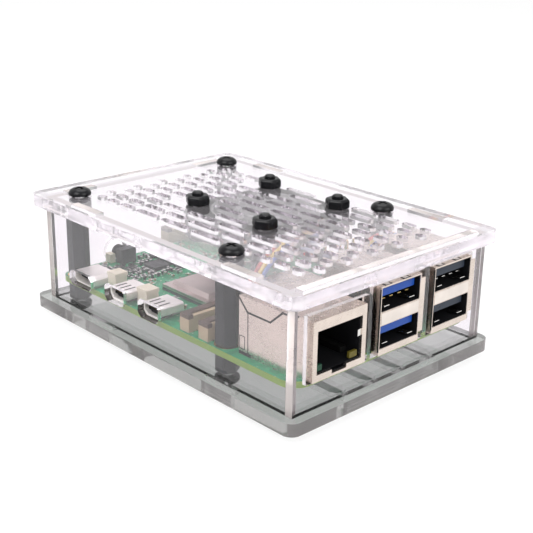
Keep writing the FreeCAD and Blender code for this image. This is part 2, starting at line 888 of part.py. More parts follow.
fan_low = top_plate_z - dim.fan_tall
fan_screw_long = dim.fan_tall + dim.plate_thick + dim.nut_tall + dim.fan_screw_proud
make_screws("top_screws", first_hole, top_plate_top, 1.0, HEAD_SIDES,
            dim.head_dia, dim.head_tall, dim.thread_dia, dim.plate_thick + dim.top_screw_bite,
            dim.hole_pitch_x, dim.hole_pitch_y)
make_screws("bottom_screws", first_hole, low_plate_z, -1.0, SMALL_HEAD_SIDES,
            dim.head_dia, dim.head_tall, dim.thread_dia, dim.plate_thick + dim.low_screw_bite,
            dim.hole_pitch_x, dim.hole_pitch_y)
make_screws("fan_screws", fan_holes[0], fan_low, -1.0, SMALL_HEAD_SIDES,
            dim.fan_screw_head_dia, dim.fan_screw_head_tall, dim.fan_screw_dia, fan_screw_long,
            dim.fan_screw_pitch, dim.fan_screw_pitch)

nuts = new_body("fan_nuts")
nut_blank = pad(nuts, sketch(nuts, "XY_Plane", top_plate_top,
                             [hexagon(fan_holes[0][0], fan_holes[0][1], dim.nut_flats)]), dim.nut_tall)
dress(nuts, "Chamfer", nut_blank, "Size", dim.nut_bevel, flat_at(top_plate_top + dim.nut_tall))
bore(nuts, fan_holes[0], top_plate_top, dim.fan_screw_dia / 2 + dim.thread_gap, dim.nut_tall, upwards=True)
repeat(nuts, dim.fan_screw_pitch, dim.fan_screw_pitch)


# Fan: a square frame with struts that carry the motor, and a rotor with seven slanted blades

BLADES = 7
STRUTS = 4
BLADE_PITCH = 32.0
MOTOR_SIDES = 24

frame = new_body("fan_frame")
frame_sketch = sketch_on(frame, "XY_Plane", fan_low)
draw_loop(frame_sketch, centred(fan_mid_x, fan_mid_y, dim.fan_square, dim.fan_square))
frame_blank = pad(frame, frame_sketch, dim.fan_tall)
dress(frame, "Chamfer", frame_blank, "Size", dim.fan_corner / 2, is_upright)
bore_sketch = sketch(frame, "XY_Plane", top_plate_z, (), [((fan_mid_x, fan_mid_y), dim.fan_bore_dia / 2)])
pocket(frame, bore_sketch, dim.fan_tall)
frame_hole = bore(frame, fan_holes[0], top_plate_z, dim.fan_hole_dia / 2, dim.fan_tall)
repeat(frame, dim.fan_screw_pitch, dim.fan_screw_pitch, features=[frame_hole])
strut_sketch = sketch_on(frame, "XY_Plane", fan_low)
strut_reach = dim.fan_square / 2 - dim.fan_corner / 2
strut_half = dim.fan_strut_wide / 2
draw_loop(strut_sketch, [
    (fan_mid_x - strut_half, fan_mid_y - strut_reach), (fan_mid_x + strut_half, fan_mid_y - strut_reach),
    (fan_mid_x + strut_half, fan_mid_y - strut_half), (fan_mid_x + strut_reach, fan_mid_y - strut_half),
    (fan_mid_x + strut_reach, fan_mid_y + strut_half), (fan_mid_x + strut_half, fan_mid_y + strut_half),
    (fan_mid_x + strut_half, fan_mid_y + strut_reach), (fan_mid_x - strut_half, fan_mid_y + strut_reach),
    (fan_mid_x - strut_half, fan_mid_y + strut_half), (fan_mid_x - strut_reach, fan_mid_y + strut_half),
    (fan_mid_x - strut_reach, fan_mid_y - strut_half), (fan_mid_x - strut_half, fan_mid_y - strut_half),
])
pad(frame, strut_sketch, dim.fan_base_thick)
motor_sketch = sketch_on(frame, "XY_Plane", fan_low)
draw(motor_sketch, [polygon(fan_mid_x, fan_mid_y, dim.fan_motor_dia / 2, MOTOR_SIDES)])
pad(frame, motor_sketch, dim.fan_base_thick)

rotor_low = fan_low + dim.fan_base_thick + dim.rotor_lift
rotor_high = top_plate_z - dim.rotor_drop
rotor = new_body("fan_rotor")
for axis_name, place in (("x", fan_mid_x), ("y", fan_mid_y)):
    rotor.setExpression("Placement.Base." + axis_name, formula(place))
hub_sketch = sketch_on(rotor, "XY_Plane", rotor_low)
draw(hub_sketch, [polygon(0.0, 0.0, dim.rotor_hub_dia / 2, MOTOR_SIDES)])
pad(rotor, hub_sketch, rotor_high - rotor_low)


blade_sketch = sketch_on(rotor, "XY_Plane")
blade_sketch.AttachmentOffset = FreeCAD.Placement(
    FreeCAD.Vector(0, 0, 0), FreeCAD.Rotation(FreeCAD.Vector(1, 0, 0), BLADE_PITCH),
)
blade_sketch.setExpression("AttachmentOffset.Base.z", formula((rotor_low + rotor_high) / 2))
blade_root = dim.rotor_hub_dia / 2 - dim.blade_thick
blade_reach = dim.fan_bore_dia / 2 - dim.blade_tip_gap
draw(blade_sketch, [[
    (blade_root, -dim.blade_root_chord / 2), (blade_reach, -dim.blade_tip_chord / 2),
    (blade_reach, dim.blade_tip_chord / 2), (blade_root, dim.blade_root_chord / 2),
]])
blade = pad(rotor, blade_sketch, dim.blade_thick)
blade.Midplane = True
doc.recompute()
blade_ring = rotor.newObject("PartDesign::PolarPattern", "rotor_blades")
blade_ring.Originals = [blade]
blade_ring.Axis = (origin_feature(rotor, "Z_Axis"), [""])
blade_ring.Angle = 360
blade_ring.Occurrences = BLADES
rotor.Tip = blade_ring


# The board, with its four holes

board = new_body("circuit_board")
board_sketch = sketch_on(board, "XY_Plane", board_low)
draw_loop(board_sketch, rectangle(board_left, board_front, board_left + dim.board_long,
                                  board_front + dim.board_wide))
board_blank = pad(board, board_sketch, dim.board_thick)
dress(board, "Fillet", board_blank, "Radius", dim.board_corner, is_upright)
board_hole_sketch = sketch(board, "XY_Plane", board_top,
                           [polygon(first_hole[0], first_hole[1], dim.board_hole_dia / 2, HOLE_SIDES)])
board_hole = pocket(board, board_hole_sketch, dim.board_thick)
repeat(board, dim.hole_pitch_x, dim.hole_pitch_y, features=[board_hole])


# Network socket: a metal shell with a mouth and a latch notch, a contact carrier and two lamps

network_mouth_half = dim.network_mouth_wide / 2
network_shell = new_body("network_socket_shell")
shell_sketch = sketch_on(network_shell, "YZ_Plane", at_x(dim.network_x))
draw_loop(shell_sketch, rectangle(at_y(dim.network_y - dim.network_wide / 2), at_z(0.0),
                                  at_y(dim.network_y + dim.network_wide / 2), at_z(dim.network_tall)))
pad(network_shell, shell_sketch, port_face - at_x(dim.network_x))
mouth_sketch = sketch_on(network_shell, "YZ_Plane", port_face)
notch_half = dim.latch_notch_wide / 2
draw_loop(mouth_sketch, [
    (at_y(dim.network_y - network_mouth_half), at_z(dim.network_mouth_low)),
    (at_y(dim.network_y - notch_half), at_z(dim.network_mouth_low)),
    (at_y(dim.network_y - notch_half), at_z(dim.latch_notch_low)),
    (at_y(dim.network_y + notch_half), at_z(dim.latch_notch_low)),
    (at_y(dim.network_y + notch_half), at_z(dim.network_mouth_low)),
    (at_y(dim.network_y + network_mouth_half), at_z(dim.network_mouth_low)),
    (at_y(dim.network_y + network_mouth_half), at_z(dim.network_mouth_top)),
    (at_y(dim.network_y - network_mouth_half), at_z(dim.network_mouth_top)),
])
pocket(network_shell, mouth_sketch, dim.network_mouth_deep)

mouth_back = port_face - dim.network_mouth_deep
keep("network_contact_carrier", block(
    "network_contact_carrier",
    (mouth_back, mouth_back + dim.network_carrier_long),
    (at_y(dim.network_y - dim.network_carrier_wide / 2), at_y(dim.network_y + dim.network_carrier_wide / 2)),
    (at_z(dim.network_mouth_top - dim.network_carrier_tall), at_z(dim.network_mouth_top)),
))
for lamp_name, side in (("network_lamp_green", -1.0), ("network_lamp_yellow", 1.0)):
    lamp_edge = dim.network_y + network_mouth_half * side
    lamp_other = lamp_edge - dim.lamp_wide * side
    lamp_span = (lamp_edge, lamp_other) if side < 0 else (lamp_other, lamp_edge)
    keep(lamp_name, block(
        lamp_name,
        (mouth_back, port_face - dim.lamp_deep),
        (at_y(lamp_span[0]), at_y(lamp_span[1])),
        (at_z(dim.network_mouth_low), at_z(dim.network_mouth_low + dim.lamp_tall)),
    ))


# Stacked sockets: a shell with two mouths, a side flange, and an inner block with two tongues

def make_stack(prefix, middle):
    shell = new_body(prefix + "_socket_shell")
    half = dim.stack_wide / 2
    inner = half - dim.stack_wall
    base = sketch_on(shell, "YZ_Plane", at_x(dim.stack_x))
    draw_loop(base, rectangle(at_y(middle - half), at_z(0.0), at_y(middle + half), at_z(dim.stack_tall)))
    pad(shell, base, port_face - at_x(dim.stack_x))
    flange = sketch_on(shell, "YZ_Plane", port_face)
    draw_loop(flange, rectangle(at_y(middle + half - dim.stack_wall), at_z(dim.stack_flange_low),
                                at_y(middle + half + dim.stack_flange_wide), at_z(dim.stack_flange_high)))
    pad(shell, flange, dim.stack_wall, backwards=True)
    mouths = sketch_on(shell, "YZ_Plane", port_face)
    spans = ((dim.stack_low_wall, dim.stack_bar_low), (dim.stack_bar_high, dim.stack_tall - dim.stack_wall))
    for low, high in spans:
        draw_loop(mouths, rectangle(at_y(middle - inner), at_z(low), at_y(middle + inner), at_z(high)))
    mouth_long = port_face - at_x(dim.stack_x + dim.stack_rear_long)
    pocket(shell, mouths, mouth_long)
    tongues = []
    for order, (low, high) in enumerate(spans):
        tongues.append(block(
            "%s_tongue_%d" % (prefix, order + 1),
            (at_x(dim.stack_x + dim.stack_rear_long), port_face - dim.tongue_back),
            (at_y(middle - dim.tongue_wide / 2), at_y(middle + dim.tongue_wide / 2)),
            (at_z(high - dim.tongue_drop - dim.tongue_thick), at_z(high - dim.tongue_drop)),
        ))
    group(prefix + "_socket_tongues", tongues)


make_stack("blue", dim.blue_stack_y)
make_stack("black", dim.black_stack_y)


# Sockets on the front edge

def make_power_inlet():
    body = new_body("power_inlet")
    front = at_y(-dim.power_proud)
    base = sketch_on(body, "XZ_Plane", -front)
    draw_loop(base, power_outline(power_mid, 0.0))
    pad(body, base, dim.power_long, backwards=True)
    mouth = sketch_on(body, "XZ_Plane", -front)
    draw_loop(mouth, power_outline(power_mid, -dim.power_shell))
    pocket(body, mouth, dim.power_long - dim.power_shell)
    tongue_mid = dim.power_tall / 2
    keep("power_inlet_tongue", block(
        "power_inlet_tongue",
        (power_mid - dim.power_tongue_wide / 2, power_mid + dim.power_tongue_wide / 2),
        (front + dim.power_proud, front + dim.power_long - dim.power_shell),
        (at_z(tongue_mid - dim.power_tongue_thick / 2), at_z(tongue_mid + dim.power_tongue_thick / 2)),
    ))


def make_video_socket(name, middle):
    """A small shell whose front is flared all round."""
    body = new_body(name)
    front = at_y(-dim.video_proud)
    collar = sketch_on(body, "XZ_Plane", -front)
    draw_loop(collar, video_outline(middle, 0.0))
    neck = sketch_on(body, "XZ_Plane", -(front + dim.video_flare_long))
    draw_loop(neck, video_outline(middle, 0.0, dim.video_flare / 2))
    flare = body.newObject("PartDesign::AdditiveLoft", name + "_flare")
    flare.Profile = (collar, [""])
    flare.Sections = [(neck, [""])]
    flare.Ruled = True
    shell = sketch_on(body, "XZ_Plane", -(front + dim.video_flare_long))
    draw_loop(shell, video_outline(middle, 0.0, dim.video_flare / 2))
    pad(body, shell, dim.video_long - dim.video_flare_long, backwards=True)
    mouth = sketch_on(body, "XZ_Plane", -front)
    draw_loop(mouth, video_outline(middle, -dim.video_shell))
    pocket(body, mouth, dim.video_mouth_deep)


make_power_inlet()
make_video_socket("video_socket_left", video_mids[0])
make_video_socket("video_socket_right", video_mids[1])


def make_small_header(name, x, y, wide):
    """A covered small header: a body, and a cap that stands out a little all round."""
    step = dim.header_cap_step
    base = chip(name + "_base", x, y, wide - step * 2, dim.header_deep - step * 2,
                0.0, dim.header_tall - dim.header_cap_tall)
    cap = chip(name + "_cap", x, y, wide, dim.header_deep, dim.header_tall - dim.header_cap_tall,
               dim.header_cap_tall)
    keep(name, join(name, [base, cap]))


make_small_header("battery_header", dim.battery_x, dim.battery_y, dim.battery_wide)
make_small_header("serial_header", dim.serial_x, dim.serial_y, dim.serial_wide)


# Ribbon connectors: a body with a raised back, and a latch bar with ears that lifts off it

def make_ribbon_connector(name, x, y, long, latch_side):
    """The latch lies on the low side of the body: latch_side is -1 for the left side and 1 for the right."""
    half = dim.ribbon_wide / 2
    step = dim.ribbon_wide - dim.ribbon_back_wide
    ear = dim.bar_ear_long
    body = new_body(name)
    profile = sketch_on(body, "XZ_Plane", -at_y(y + long / 2))
    outer = at_x(x + half * latch_side)
    inner = at_x(x + (half - step) * latch_side)
    back = at_x(x - half * latch_side)
    draw_loop(profile, [
        (outer, at_z(0.0)), (outer, at_z(dim.ribbon_body_tall)), (inner, at_z(dim.ribbon_body_tall)),
        (inner, at_z(dim.ribbon_back_tall)), (back, at_z(dim.ribbon_back_tall)), (back, at_z(0.0)),
    ])
    pad(body, profile, long)
    ends = sketch_on(body, "XY_Plane", at_z(dim.ribbon_back_tall))
    ordered = (x - half, x + half)
    for end_low, end_high in ((y - long / 2, y - long / 2 + ear), (y + long / 2 - ear, y + long / 2)):
        draw_loop(ends, rectangle(at_x(ordered[0]), at_y(end_low), at_x(ordered[1]), at_y(end_high)))
    pocket(body, ends, dim.ribbon_back_tall - dim.ribbon_body_tall)
    ribbon_slot = sketch_on(body, "XY_Plane", at_z(dim.ribbon_body_tall))
    slot_x = x + (half - step / 2) * latch_side
    draw_loop(ribbon_slot, centred(at_x(slot_x), at_y(y), dim.ribbon_slot_wide, long - ear * 2))
    pocket(body, ribbon_slot, dim.ribbon_slot_deep)

    latch = new_body(name + "_latch")
    bar_low = at_z(dim.ribbon_body_tall + dim.bar_gap)
    bar = sketch_on(latch, "XY_Plane", bar_low)
    rear = at_x(x - half * latch_side)
    shoulder = at_x(x + (half - step + dim.bar_gap) * latch_side)
    y0, y1 = at_y(y - long / 2), at_y(y + long / 2)
    step_low, step_high = at_y(y - long / 2 + ear - dim.bar_gap), at_y(y + long / 2 - ear + dim.bar_gap)
    draw_loop(bar, [
        (outer, y0), (rear, y0), (rear, step_low), (shoulder, step_low),
        (shoulder, step_high), (rear, step_high), (rear, y1), (outer, y1),
    ])
    pad(latch, bar, dim.bar_tall)


make_ribbon_connector("camera_connector_left", dim.ribbon_left_x, dim.ribbon_y, dim.ribbon_long, -1.0)
make_ribbon_connector("camera_connector_right", dim.ribbon_right_x, dim.ribbon_y, dim.ribbon_long, -1.0)
make_ribbon_connector("expansion_connector", dim.expansion_x, dim.expansion_y, dim.expansion_long, -1.0)


# Chips, shield and coils

keep("processor_base", chip("processor_base", dim.chip_x, dim.chip_y, dim.chip_wide, dim.chip_wide,
                            0.0, dim.chip_base_thick))

lid = new_body("processor_lid")
lid_x, lid_y = at_x(dim.chip_x), at_y(dim.chip_y)
rim_low = at_z(dim.chip_base_thick)
rim_sketch = sketch_on(lid, "XY_Plane", rim_low)
draw_loop(rim_sketch, centred(lid_x, lid_y, dim.chip_wide, dim.chip_wide))
pad(lid, rim_sketch, dim.lid_rim_thick)
crown_foot = sketch_on(lid, "XY_Plane", rim_low + dim.lid_rim_thick)
crown_wide = dim.chip_wide - dim.lid_rim * 2
draw_loop(crown_foot, centred(lid_x, lid_y, crown_wide, crown_wide))
crown_top = sketch_on(lid, "XY_Plane", rim_low + dim.lid_rim_thick + dim.lid_tall)
crown_top_wide = crown_wide - dim.lid_slope * 2
draw_loop(crown_top, centred(lid_x, lid_y, crown_top_wide, crown_top_wide))
crown_loft = lid.newObject("PartDesign::AdditiveLoft", "lid_crown")
crown_loft.Profile = (crown_foot, [""])
crown_loft.Sections = [(crown_top, [""])]
crown_loft.Ruled = True

keep("memory_chip", chip("memory_chip", dim.memory_x, dim.memory_y, dim.memory_wide, dim.memory_long,
                         0.0, dim.flat_chip_thick))
keep("bridge_chip", chip("bridge_chip", dim.bridge_x, dim.bridge_y, dim.bridge_wide, dim.bridge_wide,
                         0.0, dim.flat_chip_thick))
keep("network_chip", chip("network_chip", dim.phy_x, dim.phy_y, dim.phy_wide, dim.phy_wide,
                          0.0, dim.flat_chip_thick))
keep("power_chip", chip("power_chip", dim.manager_x, dim.manager_y, dim.manager_wide, dim.manager_wide,
                        0.0, dim.flat_chip_thick))
keep("radio_shield", chip("radio_shield", dim.shield_x, dim.shield_y, dim.shield_long, dim.shield_wide,
                          0.0, dim.shield_tall))
coil_row = [
    chip("coil_%d" % (i + 1), dim.coil_x + dim.coil_pitch * i, dim.coil_y, dim.coil_wide, dim.coil_wide,
         0.0, dim.coil_tall)
    for i in range(int(SIZES["coil_columns"]))
]
group("power_coils", coil_row)


# Pin header, fan header with its plug, and card slot

pins_mid_x, pins_mid_y = at_x(dim.pins_x), at_y(dim.pins_y)
pin_columns = int(SIZES["pin_columns"])
pins_long = dim.pin_pitch * pin_columns
keep("pin_header_base", chip("pin_header_base", dim.pins_x, dim.pins_y, pins_long, dim.pin_pitch * 2,
                             0.0, dim.pin_base_tall))
pins = new_body("header_pins")
first_pin = centred(pins_mid_x - dim.pin_pitch * (pin_columns - 1) / 2, pins_mid_y - dim.pin_pitch / 2,
                    dim.pin_thick, dim.pin_thick)
pad(pins, sketch(pins, "XY_Plane", at_z(dim.pin_base_tall), [first_pin]), dim.pin_tall - dim.pin_base_tall)
repeat(pins, dim.pin_pitch, dim.pin_pitch, count_x=pin_columns)

keep("fan_header", chip("fan_header", dim.fan_header_x, dim.fan_header_y, dim.fan_header_wide,
                        dim.fan_header_deep, 0.0, dim.fan_header_tall))
keep("fan_plug", chip("fan_plug", dim.fan_header_x, dim.fan_header_y, dim.fan_plug_wide, dim.fan_plug_deep,
                      dim.fan_header_tall, dim.fan_plug_tall))
keep("card_slot", block(
    "card_slot",
    (at_x(dim.card_slot_inset), at_x(dim.card_slot_inset + dim.card_slot_long)),
    (at_y(dim.card_slot_y - dim.card_slot_wide / 2), at_y(dim.card_slot_y + dim.card_slot_wide / 2)),
    (board_low - dim.card_slot_tall, board_low),
))


# Power button on the left edge, with its switch and the lamp beside it

button_mid = (at_y(dim.button_y), at_z(dim.button_high))
switch = new_body("power_switch")
switch_left = at_x(dim.button_long + dim.button_stem_long - dim.button_proud)
switch_sketch = sketch_on(switch, "YZ_Plane", switch_left)
draw_loop(switch_sketch, rectangle(at_y(dim.button_y - dim.switch_wide / 2), at_z(0.0),
                                   at_y(dim.button_y + dim.switch_wide / 2), at_z(dim.switch_tall)))
pad(switch, switch_sketch, dim.switch_long)
stem_hole = sketch_on(switch, "YZ_Plane", switch_left)
stem_radius = dim.button_stem_dia / 2
draw(stem_hole, [polygon(button_mid[0], button_mid[1], stem_radius + dim.thread_gap, THREAD_SIDES)])
pocket(switch, stem_hole, dim.button_stem_long * 3, backwards=True)

button = new_body("power_button")
cap_sketch = sketch_on(button, "YZ_Plane", at_x(-dim.button_proud))
draw_circle(cap_sketch, button_mid, dim.button_dia / 2)
pad(button, cap_sketch, dim.button_long)
stem_sketch = sketch_on(button, "YZ_Plane", at_x(dim.button_long - dim.button_proud))
draw(stem_sketch, [polygon(button_mid[0], button_mid[1], stem_radius, THREAD_SIDES)])
pad(button, stem_sketch, dim.button_stem_long * 2)

lamp_far = dim.button_y - dim.switch_wide / 2 - dim.sheet_gap
keep("status_lamp", block(
    "status_lamp",
    (at_x(0.0), at_x(dim.lamp_body_long)),
    (at_y(lamp_far - dim.lamp_body_wide), at_y(lamp_far)),
    (at_z(0.0), at_z(dim.lamp_body_tall)),
))


# Fan leads: four limp wires that leave the frame side by side, loop to the front, run back along the board
# and rise to the plug. Points are on the middle of the bundle, from the board's front left corner, and the
# last two numbers give the direction in which the wires lie side by side there.

LEAD_ROUTE = [
    (55.9, 22.8, 16.0, 0.0, 1.0), (58.4, 21.8, 16.2, 0.6, 0.9), (61.0, 17.0, 16.3, 0.85, 0.5),
    (64.2, 10.4, 15.9, 1.0, 0.2), (64.2, 7.8, 12.6, 1.0, 0.0), (63.2, 9.6, 7.8, 1.0, 0.0),
    (62.6, 16.6, 4.4, 1.0, 0.0), (62.8, 28.6, 4.4, 1.0, 0.0), (65.4, 38.4, 11.2, 1.0, 0.0),
    (66.9, 44.6, 15.2, 1.0, 0.0), (67.1, 50.4, 15.0, 1.0, 0.0), (67.0, 52.0, 12.4, 1.0, 0.0),
    (67.0, 52.0, 8.8, 1.0, 0.0),
]
LEADS = ("black", "red", "yellow", "blue")
ARC_SHARE = 0.45
LEAD_SIDES = 5


def lead_path(points):
    """Straight runs joined by tangent arcs, each as large as its two runs allow."""
    edges = []
    start = points[0]
    radii = []
    for before, corner, after in zip(points, points[1:], points[2:]):
        back = (before - corner).normalize()
        ahead = (after - corner).normalize()
        half_turn = (math.pi - back.getAngle(ahead)) / 2
        reach = ARC_SHARE * min((before - corner).Length, (after - corner).Length)
        radii.append(reach / math.tan(half_turn))
        arc_start = corner + back * reach
        arc_end = corner + ahead * reach
        bisector = (back + ahead).normalize()
        centre = corner + bisector * (radii[-1] / math.cos(half_turn))
        arc_middle = centre - bisector * radii[-1]
        edges.append(Part.LineSegment(start, arc_start).toShape())
        edges.append(Part.Arc(arc_start, arc_middle, arc_end).toShape())
        start = arc_end
    edges.append(Part.LineSegment(start, points[-1]).toShape())
    return Part.Wire(edges), radii


def make_lead(name, sideways):
    """One wire, as a tube along its path; its volume is compared with section times length."""
    shift = number(dim.lead_pitch) * sideways
    corner = FreeCAD.Vector(number(board_left), number(board_front), number(board_top))
    points = [
        corner + FreeCAD.Vector(x + shift * along_x, y + shift * along_y, z)
        for x, y, z, along_x, along_y in LEAD_ROUTE
    ]
    points[0].x = number(fan_mid_x + dim.fan_square / 2)
    points[-1].z = number(at_z(dim.fan_header_tall + dim.fan_plug_tall))
    path, radii = lead_path(points)
    radius = number(dim.lead_dia) / 2
    ahead = (points[1] - points[0]).normalize()
    side = ahead.cross(FreeCAD.Vector(0, 0, 1)).normalize()
    upward = side.cross(ahead)
    turns = [2 * math.pi * i / LEAD_SIDES for i in range(LEAD_SIDES + 1)]
    ring = Part.makePolygon([
        points[0] + side * (radius * math.cos(turn)) + upward * (radius * math.sin(turn)) for turn in turns
    ])
    tube = path.makePipeShell([ring], True, True)
    wanted = LEAD_SIDES / 2 * radius ** 2 * math.sin(2 * math.pi / LEAD_SIDES) * path.Length
    print("%s: length %.1f, smallest radius %.1f, volume %.3f of %.3f"
          % (name, path.Length, min(radii), tube.Volume, wanted))
    item = doc.addObject("Part::Feature", name)
    item.Shape = tube
    return keep(name, item)


for order, colour in enumerate(LEADS):
    make_lead("fan_lead_" + colour, order - (len(LEADS) - 1) / 2)


# Check every object and write one file for each sub-part

doc.recompute()
for item in doc.Objects:
    if "Invalid" in item.State or "Error" in item.State:
        raise RuntimeError("%s failed: %s" % (item.Name, item.State))
    if item.TypeId in ("PartDesign::Pocket", "PartDesign::Groove"):
        if item.Shape.Volume > item.BaseFeature.Shape.Volume - 1e-6:
            raise RuntimeError("%s cuts nothing" % item.Name)
os.makedirs("parts", exist_ok=True)
for name, item in PARTS.items():
    if item.Shape.isNull() or not item.Shape.isValid():
        raise RuntimeError("%s has no valid shape" % name)
    item.Shape.exportStep(os.path.join("parts", name + ".step"))
print("%d sub-parts written" % len(PARTS))
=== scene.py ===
import math
import random
import bpy
from mathutils import Matrix, Vector


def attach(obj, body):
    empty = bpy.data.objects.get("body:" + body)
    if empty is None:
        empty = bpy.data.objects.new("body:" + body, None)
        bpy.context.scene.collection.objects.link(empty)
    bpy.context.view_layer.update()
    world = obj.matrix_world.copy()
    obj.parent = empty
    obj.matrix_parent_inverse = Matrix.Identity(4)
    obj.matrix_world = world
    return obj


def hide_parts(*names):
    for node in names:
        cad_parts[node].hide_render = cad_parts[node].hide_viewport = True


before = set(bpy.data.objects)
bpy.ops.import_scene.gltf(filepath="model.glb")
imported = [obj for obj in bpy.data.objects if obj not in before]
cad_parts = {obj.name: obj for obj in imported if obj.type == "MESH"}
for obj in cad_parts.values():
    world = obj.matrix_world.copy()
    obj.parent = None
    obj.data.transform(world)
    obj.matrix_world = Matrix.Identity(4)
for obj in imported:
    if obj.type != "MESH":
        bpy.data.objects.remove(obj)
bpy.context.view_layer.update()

# The camera stands in front of the network socket's corner, a little above the top sheet, and looks
# at the case with a medium long lens.
MM = 0.001
CAMERA_PLACE = Vector((178.393, -164.075, 106.452)) * MM
CAMERA_RIGHT = Vector((0.6830, 0.7302, 0.0161))
CAMERA_UP = Vector((-0.2613, 0.2238, 0.9390))
CAMERA_LENS = 70.34
CAMERA_SHIFT = (-0.00273, 0.00014)
CAMERA_NEAR = 0.01

camera_data = bpy.data.cameras.new("camera")
camera_data.lens = CAMERA_LENS
camera_data.shift_x, camera_data.shift_y = CAMERA_SHIFT
camera_data.clip_start = CAMERA_NEAR
camera = bpy.data.objects.new("camera", camera_data)
bpy.context.scene.collection.objects.link(camera)
right = CAMERA_RIGHT.normalized()
back = right.cross(CAMERA_UP).normalized()
turned = Matrix((right, back.cross(right), back)).transposed().to_4x4()
camera.matrix_world = Matrix.Translation(CAMERA_PLACE) @ turned
bpy.context.scene.camera = camera
bpy.context.scene.view_settings.view_transform = "Standard"


# Fan leads: four thin wires with soft plastic skins, side by side. They leave the fan's frame, drop to the
# board in front of the network socket and rise again to the plug behind it. Each point of the route also
# says how far it moves in x and in y from one lead to the next, as a share of their pitch.
BOARD_CORNER = Vector((-41.5, -28.5, 11.4))
LEAD_ROUTE = [
    (55.9, 22.8, 16.0, 0.0, 1.0), (58.4, 21.8, 16.2, 0.6, 0.9), (61.0, 17.0, 16.3, 0.85, 0.5),
    (64.2, 10.4, 15.9, 1.0, 0.2), (64.2, 7.8, 12.6, 1.0, 0.0), (63.2, 9.6, 7.8, 1.0, 0.0),
    (62.6, 16.6, 4.4, 1.0, 0.0), (62.8, 28.6, 4.4, 1.0, 0.0), (65.4, 38.4, 11.2, 1.0, 0.0),
    (66.9, 44.6, 15.2, 1.0, 0.0), (67.1, 50.4, 15.0, 1.0, 0.0), (67.0, 52.0, 12.4, 1.0, 0.0),
    (67.0, 52.0, 8.8, 1.0, 0.0),
]
LEAD_DIAMETER = 0.9
LEAD_PITCH = 1.15
LEAD_COLORS = {
    "black": (0.012, 0.012, 0.014), "red": (0.45, 0.02, 0.015),
    "yellow": (0.72, 0.50, 0.08), "blue": (0.02, 0.07, 0.32),
}
FLOW_SCALE = 160.0
GRAIN_SCALE = 5200.0
GRAIN_DEPTH = 0.05 * MM


class Field:
    """A value that changes over a surface, with the usual arithmetic."""

    def __init__(self, nodes, socket):
        self.nodes = nodes
        self.socket = socket

    def work(self, operation, first, second=0.0):
        made = self.nodes.add("ShaderNodeMath", {0: first, 1: second}, operation=operation)
        return Field(self.nodes, made.outputs[0])

    def __add__(self, other):
        return self.work("ADD", self, other)

    def __radd__(self, other):
        return self.work("ADD", other, self)

    def __sub__(self, other):
        return self.work("SUBTRACT", self, other)

    def __rsub__(self, other):
        return self.work("SUBTRACT", other, self)

    def __mul__(self, other):
        return self.work("MULTIPLY", self, other)

    def __rmul__(self, other):
        return self.work("MULTIPLY", other, self)

    def __abs__(self):
        return self.work("ABSOLUTE", self)

    def above(self, edge):
        return self.work("GREATER_THAN", self, edge)

    def clamped(self):
        made = self.nodes.add("ShaderNodeClamp", {0: self})
        return Field(self.nodes, made.outputs[0])

    def stretched(self, low, high, to_low=0.0, to_high=1.0):
        made = self.nodes.add("ShaderNodeMapRange", {0: self, 1: low, 2: high, 3: to_low, 4: to_high})
        return Field(self.nodes, made.outputs[0])


class Nodes:
    """The nodes of one material, or of the world."""

    def __init__(self, owner):
        owner.use_nodes = True
        self.tree = owner.node_tree

    def add(self, kind, sockets=None, **settings):
        made = self.tree.nodes.new(kind)
        for key, value in settings.items():
            setattr(made, key, value)
        for key, value in (sockets or {}).items():
            if isinstance(value, Field):
                value = value.socket
            if isinstance(value, bpy.types.NodeSocket):
                self.tree.links.new(value, made.inputs[key])
            else:
                made.inputs[key].default_value = value
        return made


